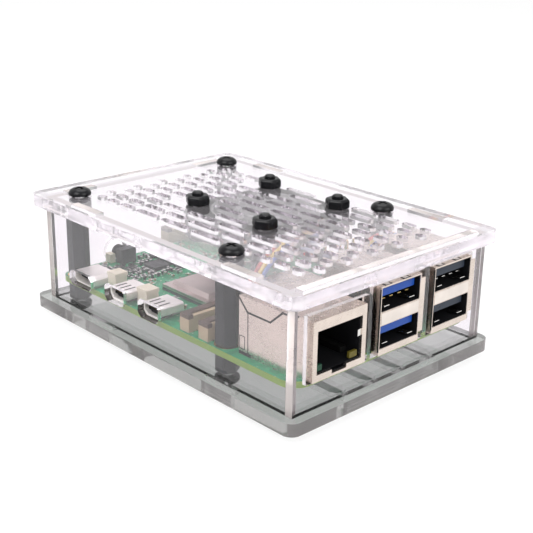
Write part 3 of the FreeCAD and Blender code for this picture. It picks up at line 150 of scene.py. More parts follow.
class Finish(Nodes):
    """One finish: a material with a Principled surface, and the nodes that vary it."""

    def __init__(self, name, color, roughness, **constants):
        self.material = bpy.data.materials.new(name)
        super().__init__(self.material)
        self.surface = self.tree.nodes["Principled BSDF"]
        self.surface.inputs["Base Color"].default_value = (*color, 1.0)
        self.surface.inputs["Roughness"].default_value = roughness
        for socket_name, value in constants.items():
            self.surface.inputs[socket_name.replace("_", " ")].default_value = value
        self.place = self.add("ShaderNodeTexCoord").outputs["Object"]

    def noise(self, scale, detail=2.0, stretch=(1.0, 1.0, 1.0)):
        place = self.add("ShaderNodeMapping", {"Vector": self.place, "Scale": stretch}).outputs[0]
        made = self.add("ShaderNodeTexNoise", {"Vector": place, "Scale": scale, "Detail": detail})
        return Field(self, made.outputs["Fac"])

    def cells(self, scale, feature="F1"):
        """The distance from the nearest of many scattered points, or from the edge of its cell."""
        made = self.add("ShaderNodeTexVoronoi", {"Vector": self.place, "Scale": scale}, feature=feature)
        return Field(self, made.outputs["Distance"])

    def axis(self, name, source=None):
        made = self.add("ShaderNodeSeparateXYZ", {0: source or self.place})
        return Field(self, made.outputs[name])

    def facing(self, name):
        """How much the surface faces along one axis, from 0 to 1."""
        return abs(self.axis(name, self.add("ShaderNodeTexCoord").outputs["Normal"]))

    def band(self, name, span):
        """1 where the distance from the middle along one axis lies between two values, and 0 elsewhere."""
        reach = abs(self.axis(name))
        return reach.above(span[0]) * (1.0 - reach.above(span[1]))

    def blend(self, factor, first, second):
        colors = [(*c, 1.0) if isinstance(c, tuple) else c for c in (first, second)]
        made = self.add("ShaderNodeMix", {0: factor, 6: colors[0], 7: colors[1]}, data_type="RGBA")
        return made.outputs[2]

    def mix(self, share, first, second):
        """A shader between two others: the share is that of the second."""
        return self.add("ShaderNodeMixShader", {0: share, 1: first.outputs[0], 2: second.outputs[0]})

    def feed(self, socket_name, value):
        socket = value.socket if isinstance(value, Field) else value
        self.tree.links.new(socket, self.surface.inputs[socket_name])

    def show(self, shader):
        """Makes a shader the one that the material shows."""
        self.tree.links.new(shader.outputs[0], self.tree.nodes["Material Output"].inputs["Surface"])

    def relief(self, height, strength, distance):
        made = self.add("ShaderNodeBump", {"Height": height, "Strength": strength, "Distance": distance})
        self.feed("Normal", made.outputs["Normal"])

    def give(self, *pieces):
        """Puts this finish on CAD nodes, by name, or on new pieces."""
        for piece in pieces:
            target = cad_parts[piece] if isinstance(piece, str) else piece
            target.data.materials.clear()
            target.data.materials.append(self.material)


def moulded(name, color, roughness=0.42, grain=1.0, sheen=0.5):
    """Moulded plastic: a fine spark-eroded grain, faint flow marks and handling marks."""
    finish = Finish(name, color, roughness, Specular_IOR_Level=sheen)
    cloud = finish.noise(FLOW_SCALE, 3.0)
    low = tuple(c * 0.94 for c in color)
    high = tuple(min(c * 1.06 + 0.004, 1.0) for c in color)
    finish.feed("Base Color", finish.blend(cloud, low, high))
    finish.feed("Roughness", cloud * 0.16 + (roughness - 0.08))
    finish.relief(finish.noise(GRAIN_SCALE), 0.25 * grain, GRAIN_DEPTH)
    return finish


def on_board(x, y, z):
    """A place in metres, from millimetres counted from the board's front left corner."""
    return (BOARD_CORNER + Vector((x, y, z))) * MM


def place_piece(piece, finish, node=None):
    """Gives a piece of the case its finish and slot. Where a CAD node is named, the piece replaces it."""
    finish.give(piece)
    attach(piece, "case")
    if node:
        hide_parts(node)


for order, (lead_color, color) in enumerate(LEAD_COLORS.items()):
    shift = LEAD_PITCH * (order - (len(LEAD_COLORS) - 1) / 2)
    points = [on_board(x + shift * dx, y + shift * dy, z) for x, y, z, dx, dy in LEAD_ROUTE]
    line = bpy.data.curves.new("lead_" + lead_color, "CURVE")
    line.dimensions = "3D"
    line.bevel_depth = LEAD_DIAMETER / 2 * MM
    line.bevel_resolution = 5
    line.resolution_u = 12
    line.use_fill_caps = True
    route = line.splines.new("NURBS")
    route.points.add(len(points) - 1)
    for control, point in zip(route.points, points):
        control.co = (*point, 1.0)
    route.order_u = 3
    route.use_endpoint_u = True
    lead = bpy.data.objects.new("lead_" + lead_color, line)
    bpy.context.scene.collection.objects.link(lead)
    skin = moulded("lead_skin_" + lead_color, color, roughness=0.38, grain=0.5)
    place_piece(lead, skin, "fan_lead_" + lead_color)


# Clear sheets: cast acrylic, cut by a laser. The faces are polished and mirror the white room at a low
# angle, and the cut edges are frosted by fine upright cutting marks, so they look pale. Where a wall ends
# under the top sheet, the flat faces that meet there are given painted light: an emission in the edge
# colour.
OUT_OF_REACH = 1.0
PLATE_RIM = (47.2 * MM, 32.7 * MM)
LONG_WALL_RIM = (43.5 * MM, OUT_OF_REACH)
SHORT_WALL_RIM = (OUT_OF_REACH, 27.0 * MM)
SHORT_WALL_SPAN = (42.15 * MM, 45.8 * MM)
LONG_WALL_SPAN = (29.15 * MM, 31.15 * MM)
MID_WALL = 17.0 * MM
MID_TOP_PLATE = 30.9 * MM
POLISH = 0.02
ACRYLIC_BENDING = 1.49
UPRIGHT = (1.0, 1.0, 0.1)
EVEN = (1.0, 1.0, 1.0)
HAZE_SCALE = 60.0
CUT_MARK_SCALE = 700.0
CUT_BAND_SCALE = 45.0
CUT_MARK_DEPTH = 0.1 * MM
# The share and strength of painted light, an emission, on the flat faces where a wall meets the top sheet.
PAINTED_GLOW_SHARE = 0.7
PAINTED_GLOW_STRENGTH = 0.75
ROSE_CLEAR = (0.975, 0.945, 0.975)
# The bottom sheet is the same clear acrylic as the others. Its grey tint and its dark edge colour are
# painted shade: the shade under the board and the case, and the board's dark underside mirrored in the
# sheet.
SHADE_DARKENED_CLEAR = (0.50, 0.515, 0.50)
TOP_EDGE = (0.94, 0.89, 0.94)
SHADED_BOTTOM_EDGE = (0.36, 0.34, 0.34)
WALL_EDGE = (0.88, 0.80, 0.78)
WALL_FROST = (0.34, 0.08)
WALL_TOP_FROST = 0.25


def clear_sheet(name, face_axis, rim, frosts, veil, tint, frost_and_glow_color, top_frost=0.0):
    """A clear sheet whose faces look along one axis. The frosts are of its outer edges and of its slots."""
    finish = Finish(name, tint, POLISH, Transmission_Weight=1.0, IOR=ACRYLIC_BENDING)
    level = finish.axis("Z")
    edge = 1.0 - finish.facing(face_axis).above(0.7)
    stretch = UPRIGHT if face_axis == "Z" else EVEN
    haze = finish.noise(HAZE_SCALE, 3.0)
    marks = finish.noise(CUT_MARK_SCALE, 3.0, stretch)
    bands = finish.noise(CUT_BAND_SCALE, 2.0, stretch)
    cut_color = finish.blend(marks, tuple(0.93 * c for c in tint), tint)
    finish.feed("Base Color", finish.blend(edge, tint, cut_color))
    finish.feed("Roughness", edge * (marks * 0.10 + 0.03) + haze * 0.015)
    finish.relief(marks * edge, 0.35, CUT_MARK_DEPTH)

    outer = (abs(finish.axis("X")).above(rim[0]) + abs(finish.axis("Y")).above(rim[1])).clamped()
    rim_frost, slot_frost = frosts
    frosted = outer * (rim_frost - slot_frost) + slot_frost + level.above(MID_TOP_PLATE) * top_frost
    frosted = frosted * bands.stretched(0.3, 0.7, 0.5, 1.5)
    share = edge * frosted + (1.0 - edge) * haze.stretched(0.3, 0.7, 0.8, 1.2) * veil
    pale = finish.add("ShaderNodeBsdfDiffuse", {"Color": (*frost_and_glow_color, 1.0)})
    veiled = finish.mix(share, finish.surface, pale)

    # Painted light: the flat faces where a wall meets the top sheet are mixed towards an emission, so they
    # shine though no lamp is there.
    over_wall = (finish.band("X", SHORT_WALL_SPAN) + finish.band("Y", LONG_WALL_SPAN)).clamped()
    under_plate = level.above(MID_WALL) * (1.0 - level.above(MID_TOP_PLATE))
    seat = finish.facing("Z").above(0.9) * under_plate * over_wall
    painted_glow = finish.add("ShaderNodeEmission", {"Color": (*frost_and_glow_color, 1.0), "Strength": PAINTED_GLOW_STRENGTH})
    finish.show(finish.mix(seat * PAINTED_GLOW_SHARE, veiled, painted_glow))
    return finish


top_sheet = clear_sheet("sheet_top", "Z", PLATE_RIM, (0.28, 0.10), 0.05, ROSE_CLEAR, TOP_EDGE)
top_sheet.give("top_plate")
# Its darker tint and edge colour are painted shade.
bottom_sheet = clear_sheet("sheet_bottom", "Z", PLATE_RIM, (0.30, 0.16), 0.02, SHADE_DARKENED_CLEAR, SHADED_BOTTOM_EDGE)
bottom_sheet.give("bottom_plate")
wall_look = (WALL_FROST, 0.0, ROSE_CLEAR, WALL_EDGE, WALL_TOP_FROST)
clear_sheet("sheet_front", "Y", LONG_WALL_RIM, *wall_look).give("front_wall", "back_wall")
clear_sheet("sheet_side", "X", SHORT_WALL_RIM, *wall_look).give("left_wall", "right_wall")


# Fasteners and spacers: black nylon, moulded with a satin skin. Each kind is modelled once and copied to
# its four holes.
HOLE_PITCH = (58.0 * MM, 49.0 * MM)
FAN_PITCH = (24.3 * MM, 24.3 * MM)
FIRST_HOLE = (-38.0 * MM, -25.0 * MM)
FIRST_FAN_HOLE = (-12.75 * MM, -7.35 * MM)
PLATE_TOP = 32.4 * MM
BOTTOM_SEAT = 1.9 * MM
PAN_RINGS = (
    (0.90, 0.0), (0.98, 0.06), (1.0, 0.16), (1.0, 0.34), (0.95, 0.52), (0.84, 0.72), (0.68, 0.88),
    (0.48, 0.97), (0.30, 1.0),
)
RECESS_DEPTH = 0.45
RECESS_ARM = 0.24
CASE_HEAD_RADIUS = 2.85 * MM
CASE_HEAD_TALL = 1.9 * MM
CASE_ROD_RADIUS = 1.18 * MM
TOP_ROD_REACH = 8.0 * MM
BOTTOM_ROD_REACH = 5.6 * MM
CASE_SCREWS = (
    ("top_screws", PLATE_TOP, 1, TOP_ROD_REACH),
    ("bottom_screws", BOTTOM_SEAT, -1, BOTTOM_ROD_REACH),
)
NUT_HIGH = 2.4 * MM
NUT_FLATS = 5.4 * MM
NUT_BORE_RADIUS = 1.45 * MM
FAN_LOW = 22.4 * MM
FAN_HEAD_RADIUS = 2.6 * MM
FAN_HEAD_TALL = 1.8 * MM
FAN_ROD_RADIUS = 1.38 * MM
TIP = 35.7 * MM


def only(piece):
    bpy.ops.object.select_all(action="DESELECT")
    piece.select_set(True)
    bpy.context.view_layer.objects.active = piece


def settled(piece, name):
    """Names a finished piece and leaves its object at the origin, with its place in its mesh."""
    only(piece)
    bpy.ops.object.transform_apply(location=True, rotation=True, scale=True)
    piece.name = name
    piece.data.name = name
    return piece


def rounded(piece, width, segments=2, angle=35.0):
    only(piece)
    bevel = piece.modifiers.new("bevel", "BEVEL")
    bevel.width = width
    bevel.segments = segments
    bevel.limit_method = "ANGLE"
    bevel.angle_limit = math.radians(angle)
    bpy.ops.object.modifier_apply(modifier="bevel")
    return piece


def stacked(name, centre, profile, steps):
    """A piece of rings round one middle. The profile lists them from the bottom, as radius and height."""
    x, y = centre
    (radius, height), rest = profile[0], profile[1:]
    bpy.ops.object.select_all(action="DESELECT")
    place = (x, y, height)
    bpy.ops.mesh.primitive_circle_add(vertices=steps, radius=radius, fill_type="NGON", location=place)
    piece = bpy.context.object
    bpy.ops.object.transform_apply(location=True, rotation=True, scale=True)
    bpy.ops.object.mode_set(mode="EDIT")
    bpy.ops.mesh.select_all(action="SELECT")
    for next_radius, next_height in rest:
        bpy.ops.mesh.extrude_region_move(TRANSFORM_OT_translate={"value": (0.0, 0.0, next_height - height)})
        share = next_radius / radius
        bpy.ops.transform.resize(value=(share, share, 1.0), center_override=(x, y, next_height))
        radius, height = next_radius, next_height
    bpy.ops.mesh.select_all(action="SELECT")
    bpy.ops.mesh.normals_make_consistent(inside=False)
    bpy.ops.object.mode_set(mode="OBJECT")
    return settled(piece, name)


def rod(name, centre, radius, low, high, steps):
    return stacked(name, centre, [(radius, low), (radius, high)], steps)


def carve(piece, cutter):
    """Cuts one piece with another, which is used up."""
    only(piece)
    change = piece.modifiers.new("carve", "BOOLEAN")
    change.object = cutter
    change.operation = "DIFFERENCE"
    change.solver = "EXACT"
    bpy.ops.object.modifier_apply(modifier="carve")
    bpy.data.objects.remove(cutter)


def box(name, low, high):
    bpy.ops.object.select_all(action="DESELECT")
    middle = (Vector(low) + Vector(high)) / 2
    bpy.ops.mesh.primitive_cube_add(size=1.0, location=middle, scale=Vector(high) - Vector(low))
    return settled(bpy.context.object, name)


def join(pieces, name):
    only(pieces[0])
    for piece in pieces:
        piece.select_set(True)
    bpy.ops.object.join()
    return settled(bpy.context.object, name)


def repeat(piece, pitch, name):
    """Copies a piece from the first of four holes to the other three, and joins the copies with it."""
    copies = [piece]
    for shift in ((pitch[0], 0.0, 0.0), (0.0, pitch[1], 0.0), (pitch[0], pitch[1], 0.0)):
        copy = piece.copy()
        copy.data = piece.data.copy()
        copy.location = Vector(shift)
        bpy.context.scene.collection.objects.link(copy)
        copies.append(copy)
    return join(copies, name)


def smooth(piece, angle=32.0):
    only(piece)
    bpy.ops.object.shade_smooth_by_angle(angle=math.radians(angle))
    return piece


def cross_cutter(x, y, low, high, long, wide):
    first = box("cross_long", (x - long / 2, y - wide / 2, low), (x + long / 2, y + wide / 2, high))
    second = box("cross_wide", (x - wide / 2, y - long / 2, low), (x + wide / 2, y + long / 2, high))
    return first, second


def pan_head(name, centre, seat, radius, tall, direction):
    """A pan head with a washer face, a rounded crown and a cross recess. It points up or down."""
    profile = [(radius * share, seat + tall * rise * direction) for share, rise in PAN_RINGS]
    piece = stacked(name, centre, profile if direction > 0 else profile[::-1], 40)
    crown = seat + tall * direction
    low, high = sorted((crown - tall * RECESS_DEPTH * direction, crown + tall * direction))
    for cutter in cross_cutter(centre[0], centre[1], low, high, radius, radius * RECESS_ARM):
        carve(piece, cutter)
    return smooth(piece)


nylon = moulded("black_nylon", (0.004, 0.004, 0.005), 0.26, 0.6, sheen=0.16)
spacer_nylon = moulded("spacer_nylon", (0.009, 0.010, 0.015), 0.34, 0.8, sheen=0.22)
spacer_nylon.give("lower_standoffs", "upper_standoffs")

for node, seat, direction, reach in CASE_SCREWS:
    head = pan_head(node + "_head", FIRST_HOLE, seat, CASE_HEAD_RADIUS, CASE_HEAD_TALL, direction)
    low, high = sorted((seat, seat - direction * reach))
    shank = rod(node + "_rod", FIRST_HOLE, CASE_ROD_RADIUS, low, high, 20)
    screws = repeat(join([head, shank], node + "_one"), HOLE_PITCH, node + "_dressed")
    place_piece(screws, nylon, node)

nut_radius = NUT_FLATS / math.sqrt(3.0)
nut_top = PLATE_TOP + NUT_HIGH
nut = stacked("nut", FIRST_FAN_HOLE, [
    (nut_radius * 0.93, PLATE_TOP), (nut_radius, PLATE_TOP + 0.3 * MM), (nut_radius, nut_top - 0.5 * MM),
    (nut_radius * 0.90, nut_top - 0.1 * MM), (nut_radius * 0.82, nut_top),
], 6)
carve(nut, rod("nut_bore", FIRST_FAN_HOLE, NUT_BORE_RADIUS, PLATE_TOP - MM, nut_top + MM, 24))
rounded(nut, 0.22 * MM, 3, 30.0)
nuts = repeat(smooth(nut, 40.0), FAN_PITCH, "fan_nuts_dressed")
place_piece(nuts, nylon, "fan_nuts")

fan_head = pan_head("fan_head", FIRST_FAN_HOLE, FAN_LOW, FAN_HEAD_RADIUS, FAN_HEAD_TALL, -1)
fan_rod = stacked("fan_rod", FIRST_FAN_HOLE, [
    (FAN_ROD_RADIUS, FAN_LOW), (FAN_ROD_RADIUS, TIP - 0.35 * MM), (1.05 * MM, TIP - 0.05 * MM),
    (0.8 * MM, TIP),
], 24)
fan_screws = repeat(smooth(join([fan_head, fan_rod], "fan_screw")), FAN_PITCH, "fan_screws_dressed")
place_piece(fan_screws, nylon, "fan_screws")


# Fan: a moulded black frame with a round air way and a motor base on four struts, and a rotor of seven
# blades that turns on it. It hangs under the top sheet on its four screws.
moulded("fan_black", (0.020, 0.020, 0.022), 0.36, 0.9, sheen=0.35).give("fan_frame", "fan_rotor")


# Board: glass laminate under a green lacquer, which follows the copper tracks and leaves tinned lands
# open. Its edges are bare laminate. It stands on the lower spacers.
TRACK_SCALE = 260.0
LAND_SCALE = 700.0
LACQUER_CLOUD_SCALE = 60.0
TRACK_DEPTH = 0.05 * MM
LACQUER_DARK = (0.0, 0.19, 0.075)
LACQUER_LIGHT = (0.006, 0.30, 0.125)
TRACK_GREEN = (0.02, 0.42, 0.18)
LAND_TIN = (0.72, 0.70, 0.62)
LAMINATE_EDGE = (0.22, 0.36, 0.05)

lacquer = Finish("board_lacquer", (0.01, 0.22, 0.10), 0.32, Specular_IOR_Level=0.3)
flat = lacquer.facing("Z").above(0.7)
track = 1.0 - lacquer.cells(TRACK_SCALE, "DISTANCE_TO_EDGE").above(0.10)
cloud = lacquer.noise(LACQUER_CLOUD_SCALE, 3.0)
plain = lacquer.blend(cloud.stretched(0.3, 0.7), LACQUER_DARK, LACQUER_LIGHT)
tracked = lacquer.blend(track * 0.5, plain, TRACK_GREEN)
lands = 1.0 - lacquer.cells(LAND_SCALE).above(0.16)
landed = lacquer.blend(lands * 0.8, tracked, LAND_TIN)
lacquer.feed("Base Color", lacquer.blend(flat, LAMINATE_EDGE, landed))
lacquer.feed("Roughness", cloud * 0.15 + 0.25)
lacquer.relief(track * 0.6 + lands, 0.3, TRACK_DEPTH)
lacquer.give("circuit_board")


# Sockets, chips and headers: tinned sheet shells folded round moulded carriers and tongues, cream and tan
# headers, and black chips, one of them under a metal lid. They are soldered to the board.
STREAK_SCALE = 1500.0
STAIN_SCALE = 190.0
DENT_SCALE = 90.0
DENT_DEPTH = 0.12 * MM


def plated(name, color, roughness=0.27, brush=(1.0, 1.0, 6.0), metal=1.0):
    """Tinned or nickel plated sheet: rolling streaks, faint stains and small dents."""
    finish = Finish(name, color, roughness, Metallic=metal)
    streak = finish.noise(STREAK_SCALE, 4.0, brush)
    stain = finish.noise(STAIN_SCALE, 3.0)
    dark = tuple(c * 0.86 for c in color)
    finish.feed("Base Color", finish.blend(stain.stretched(0.35, 0.7), dark, color))
    finish.feed("Roughness", streak * 0.12 + stain * 0.10 + (roughness - 0.1))
    finish.relief(streak * 0.3 + finish.noise(DENT_SCALE, 1.0), 0.02, DENT_DEPTH)
    return finish


plated("tinned_sheet", (0.77, 0.67, 0.60)).give(
    "network_socket_shell", "blue_socket_shell", "black_socket_shell", "radio_shield", "card_slot")
plated("socket_rim", (0.93, 0.89, 0.86), 0.42, metal=0.55).give(
    "power_inlet", "video_socket_left", "video_socket_right")
socket_black = moulded("socket_black", (0.005, 0.005, 0.006), 0.45, sheen=0.12)
socket_black.give("network_contact_carrier", "power_inlet_tongue", "pin_header_base", "power_button")
moulded("socket_blue", (0.001, 0.038, 0.22), 0.30, sheen=0.3).give("blue_socket_tongues")
moulded("socket_grey", (0.014, 0.020, 0.032), 0.30, sheen=0.25).give("black_socket_tongues")
moulded("header_cream", (0.74, 0.68, 0.54), 0.45).give(
    "battery_header", "serial_header", "fan_header", "fan_plug", "status_lamp")
moulded("ribbon_tan", (0.50, 0.40, 0.26), 0.45).give(
    "camera_connector_left", "camera_connector_right", "expansion_connector")
moulded("latch_brown", (0.10, 0.06, 0.045), 0.42).give(
    "camera_connector_left_latch", "camera_connector_right_latch", "expansion_connector_latch")
plated("lid_metal", (0.68, 0.58, 0.55), 0.36, (1.0, 6.0, 1.0)).give("processor_lid")
moulded("chip_black", (0.035, 0.036, 0.040), 0.5).give(
    "processor_base", "memory_chip", "bridge_chip", "network_chip", "power_chip", "power_switch")
moulded("coil_grey", (0.07, 0.07, 0.075), 0.55).give("power_coils")
gold = plated("pin_gold", (0.86, 0.62, 0.24), 0.24)
gold.give("header_pins")
moulded("lamp_shade", (0.006, 0.006, 0.006), 0.4, sheen=0.12).give(
    "network_lamp_green", "network_lamp_yellow")


# Network socket insides: a black moulded body that lines the mouth and its latch notch, eight gold spring
# contacts that slant down from the carrier, a folded spring tab, and a lamp face low on each side.
MOUTH_X = (75.6, 87.5)
CONTACT_PITCH = 1.02
CONTACT_SIZE = (5.6, 0.42, 0.22)
CONTACT_TURN = (0.0, math.radians(-24.0), 0.0)
TAB_SIZE = (0.12, 1.3, 1.5)
TAB_TURN = (0.0, 0.0, math.radians(8.0))
LAMP_FACES = (
    ("green", (3.95, 5.6), (0.005, 0.035, 0.018)),
    ("yellow", (13.8, 16.2), (0.075, 0.060, 0.008)),
)


def around(middle, reach):
    """The span from one side of a middle to the other."""
    return middle - reach, middle + reach


def board_box(name, x_span, y_span, z_span):
    """A box from its spans in millimetres, counted from the board's front left corner."""
    low, high = zip(x_span, y_span, z_span)
    return box(name, on_board(*low), on_board(*high))


def lining(name, x_span, y_span, z_span, wall):
    """A thin-walled tray that lines a mouth: a box without its right side, given a thickness inwards."""
    piece = board_box(name, x_span, y_span, z_span)
    only(piece)
    bpy.ops.object.mode_set(mode="EDIT")
    bpy.ops.mesh.select_all(action="DESELECT")
    bpy.ops.object.mode_set(mode="OBJECT")
    for face in piece.data.polygons:
        face.select = face.normal.x > 0.9
    bpy.ops.object.mode_set(mode="EDIT")
    bpy.ops.mesh.select_mode(type="FACE")
    bpy.ops.mesh.delete(type="FACE")
    bpy.ops.object.mode_set(mode="OBJECT")
    skin_wall = piece.modifiers.new("wall", "SOLIDIFY")
    skin_wall.thickness = wall * MM
    skin_wall.offset = -1.0
    bpy.ops.object.modifier_apply(modifier="wall")
    return piece


def slanted(name, middle, size, turn):
    """A bar turned about its middle, with its size in millimetres."""
    bpy.ops.object.select_all(action="DESELECT")
    scale = [side * MM for side in size]
    bpy.ops.mesh.primitive_cube_add(size=1.0, location=middle, scale=scale, rotation=turn)
    return settled(bpy.context.object, name)


mouth_tray = lining("network_mouth_tray", MOUTH_X, (3.55, 16.85), (1.55, 11.15), 0.35)
notch_tray = lining("network_notch_tray", MOUTH_X, (8.05, 12.35), (0.65, 1.75), 0.3)
place_piece(join([mouth_tray, notch_tray], "network_mouth_lining"), socket_black)

contacts = [
    slanted("contact", on_board(79.4, 6.64 + CONTACT_PITCH * i, 7.2), CONTACT_SIZE, CONTACT_TURN)
    for i in range(8)
]
place_piece(join(contacts, "network_contacts"), gold)
tin_bright = plated("tin_bright", (0.88, 0.86, 0.83), 0.22)
tab = slanted("network_shell_tab", on_board(87.7, 16.3, 7.4), TAB_SIZE, TAB_TURN)
place_piece(rounded(tab, 0.05 * MM, 1), tin_bright)
for lamp_color, y_span, color in LAMP_FACES:
    face = board_box("network_lamp_face_" + lamp_color, (86.6, 87.4), y_span, (1.95, 3.4))
    lens = moulded("lamp_" + lamp_color, color, 0.3, sheen=0.2)
    place_piece(rounded(face, 0.15 * MM), lens)


# Network shell: its side shows the folded seam of the sheet, a small window and the dark foot of the body
# under it. They are dark lines on the tinned sheet, given as places in x and z.
SHELL_SIDE_Y = 2.19
SEAM = [(66.36, 13.3), (69.4, 10.24), (76.4, 10.2), (80.0, 13.42), (82.5, 13.44)]
FOLD = [(69.5, 10.2), (69.6, 0.9)]
WINDOW = [(66.95, 1.35), (68.55, 1.35), (68.55, 4.3), (66.95, 4.3), (66.95, 1.35)]


def seam_strip(first, second, wide):
    """A dark strip on the shell's side from one place to another."""
    (x0, z0), (x1, z1) = first, second
    middle = on_board((x0 + x1) / 2, SHELL_SIDE_Y, (z0 + z1) / 2)
    long = math.hypot(x1 - x0, z1 - z0) + wide
    return slanted("seam", middle, (long, 0.06, wide), (0.0, -math.atan2(z1 - z0, x1 - x0), 0.0))


mouth_dark = moulded("mouth_dark", (0.004, 0.004, 0.005), 0.5, sheen=0.12)
seams = [
    seam_strip(first, second, wide)
    for places, wide in ((SEAM, 0.42), (FOLD, 0.2), (WINDOW, 0.16))
    for first, second in zip(places, places[1:])
]
seams.append(board_box("foot", (66.75, 70.6), (2.15, 2.3), (0.02, 0.75)))
place_piece(join(seams, "network_shell_seams"), mouth_dark)


# Stacked socket insides: dark mouths, contacts under each tongue, spring fingers cut from the shell, two
# springs in slots of its top, and the pressed bar between the two mouths.
STACK_MOUTHS = ((1.52, 6.88), (10.12, 15.63))
STACK_TONGUES = (4.4, 12.35)
PAD_PITCH = 2.6
FINGER_LEVELS = (1.6, 10.2)
FINGER_SIZE = (3.2, 1.7, 0.18)
FINGER_TURN = (0.0, math.radians(-12.0), 0.0)
TOP_SPRINGS = (-4.1, 1.9)
shell_bar = plated("shell_bar", (0.86, 0.78, 0.72), 0.30)


def dress_stack(prefix, middle, contact_finish):
    trays = [
        lining(prefix + "_tray", (75.7, 87.7), around(middle, 6.35), mouth, 0.12) for mouth in STACK_MOUTHS
    ]
    place_piece(join(trays, prefix + "_mouth_linings"), mouth_dark)
    pads = []
    for low in STACK_TONGUES:
        for i in range(4):
            y = middle + PAD_PITCH * (i - 1.5)
            pads.append(board_box("pad", (80.0, 86.2), around(y, 0.55), (low - 0.10, low + 0.02)))
    place_piece(join(pads, prefix + "_contacts"), contact_finish)
    fingers = []
    for low in FINGER_LEVELS:
        for y in around(middle, 4.2):
            fingers.append(slanted("finger", on_board(86.0, y, low + 0.55), FINGER_SIZE, FINGER_TURN))
    place_piece(rounded(join(fingers, prefix + "_spring_fingers"), 0.06 * MM), tin_bright)
    bar = board_box(prefix + "_bar", (87.85, 88.02), around(middle, 6.2), (7.15, 9.85))
    place_piece(rounded(bar, 0.08 * MM), shell_bar)
    slots = []
    springs = []
    for y in (middle + place for place in TOP_SPRINGS):
        slots.append(board_box("slot", (85.2, 87.75), around(y, 1.2), (15.96, 16.03)))
        spring = board_box("spring", (85.6, 87.6), around(y, 0.7), (16.0, 16.09))
        springs.append(rounded(spring, 0.03 * MM, 1))
    slots.append(board_box("gap", (87.8, 87.94), (middle - 6.95, middle - 6.6), (0.9, 15.5)))
    slots.append(board_box("side_strip", (72.0, 86.4), (middle - 7.35, middle - 7.2), (0.4, 12.0)))
    place_piece(join(slots, prefix + "_spring_slots"), mouth_dark)
    place_piece(join(springs, prefix + "_top_springs"), tin_bright)


dress_stack("blue", 29.1, gold)
dress_stack("black", 47.2, tin_bright)


# Video sockets of the front edge: black moulded cores with gold contacts on their tongues, and slits
# pressed in the tops of the shells.
VIDEO_PLACES = (25.8, 39.2)
VIDEO_CONTACT_PITCH = 0.52
SLIT_PITCH = 1.75
cores = []
front_contacts = []
slits = []
for x in VIDEO_PLACES:
    cores.append(board_box("core", around(x, 3.0), (0.1, 3.3), (0.6, 3.0)))
    cores.append(board_box("core_tongue", around(x, 2.3), (-0.6, 0.2), (1.45, 2.05)))
    for i in range(9):
        left = x - 2.1 + VIDEO_CONTACT_PITCH * i
        front_contacts.append(board_box("contact", (left, left + 0.24), (-0.5, 0.1), (2.03, 2.12)))
    for i in range(3):
        left = x - 2.0 + SLIT_PITCH * i
        slits.append(board_box("slit", (left, left + 0.5), (0.4, 3.6), (3.28, 3.37)))
place_piece(join(cores, "video_cores"), socket_black)
place_piece(join(front_contacts, "video_contacts"), gold)
place_piece(join(slits, "video_slits"), mouth_dark)


# Pin header: a black moulded strip for two rows of twenty gold pins, notched between its pin places. It
# stands in the place of the plain base of the CAD model.
PIN_PITCH = 2.54
HEADER_MIDDLE = 32.5
strips = []
for i in range(20):
    x = HEADER_MIDDLE + PIN_PITCH * (i - 9.5)
    strip = board_box("strip", around(x, 1.25), (49.98, 55.02), (0.02, 2.5))
    strips.append(rounded(strip, 0.3 * MM, 1))
place_piece(join(strips, "pin_header_dressed"), socket_black, "pin_header_base")


# Lands: a gilded ring round each hole of the board, on its top and on its underside, where the spacers
# press. Each is a thin plated layer with the screw's way through it left open.
LAND_RADIUS = 3.05 * MM
LAND_BORE_RADIUS = 1.6 * MM
LAND_THICK = 0.03 * MM
BOARD_TOP = 11.4 * MM
BOARD_UNDER = 9.9 * MM
for face_name, low in (("top", BOARD_TOP), ("under", BOARD_UNDER - LAND_THICK)):
    high = low + LAND_THICK
    ring = rod("land", FIRST_HOLE, LAND_RADIUS, low, high, 40)
    carve(ring, rod("land_bore", FIRST_HOLE, LAND_BORE_RADIUS, low - MM, high + MM, 24))
    place_piece(repeat(ring, HOLE_PITCH, "lands_" + face_name), gold)


# Small parts of the board: resistors, capacitors and coils of about a millimetre, soldered by their tinned
# ends. They stand on a half millimetre grid, close together in the power supply's corner and further apart
# over the rest of the board. Their sizes are long, wide and tall.
TAKEN = (
    (6.0, -2.0, 16.4, 7.2), (21.4, -2.0, 30.2, 7.4), (34.8, -2.0, 43.6, 7.4), (15.8, 2.4, 20.8, 7.4),
    (29.4, 1.4, 34.6, 6.6), (47.8, 0.0, 58.6, 16.4), (25.8, 12.2, 44.2, 30.6), (46.9, 16.5, 57.9, 31.5),
    (49.5, 32.0, 60.5, 43.0), (66.0, 1.5, 88.0, 18.8), (69.9, 21.5, 88.0, 36.9), (69.9, 39.5, 88.0, 55.5),
    (0.8, 29.8, 5.2, 43.2), (5.0, 34.6, 18.0, 46.4), (6.4, 49.4, 58.6, 55.6), (0.0, 0.0, 7.2, 7.2),
    (58.0, 0.0, 65.2, 7.2), (0.0, 48.8, 7.2, 56.0), (58.0, 48.8, 69.6, 56.0), (0.0, 13.0, 6.2, 21.0),
    (58.9, 9.6, 64.7, 15.4), (9.6, 18.6, 15.4, 24.4), (4.0, 24.8, 18.0, 28.0),
)
SMALL_SIZES = ((1.0, 0.5, 0.5), (1.0, 0.5, 0.35), (0.6, 0.3, 0.3), (1.6, 0.8, 0.8))
SMALL_KINDS = ("brown", "dark", "dark", "brown", "brown")
SUPPLY_SIZE = (1.6, 0.8, 0.9)
SUPPLY_FIELD = (4.0, 18.5, 8.0, 29.0)
BOARD_FIELD = (2.0, 68.0, 2.0, 54.0)
PARTS_OF_SUPPLY = 60
PARTS_OVER_BOARD = 190
random.seed(7)


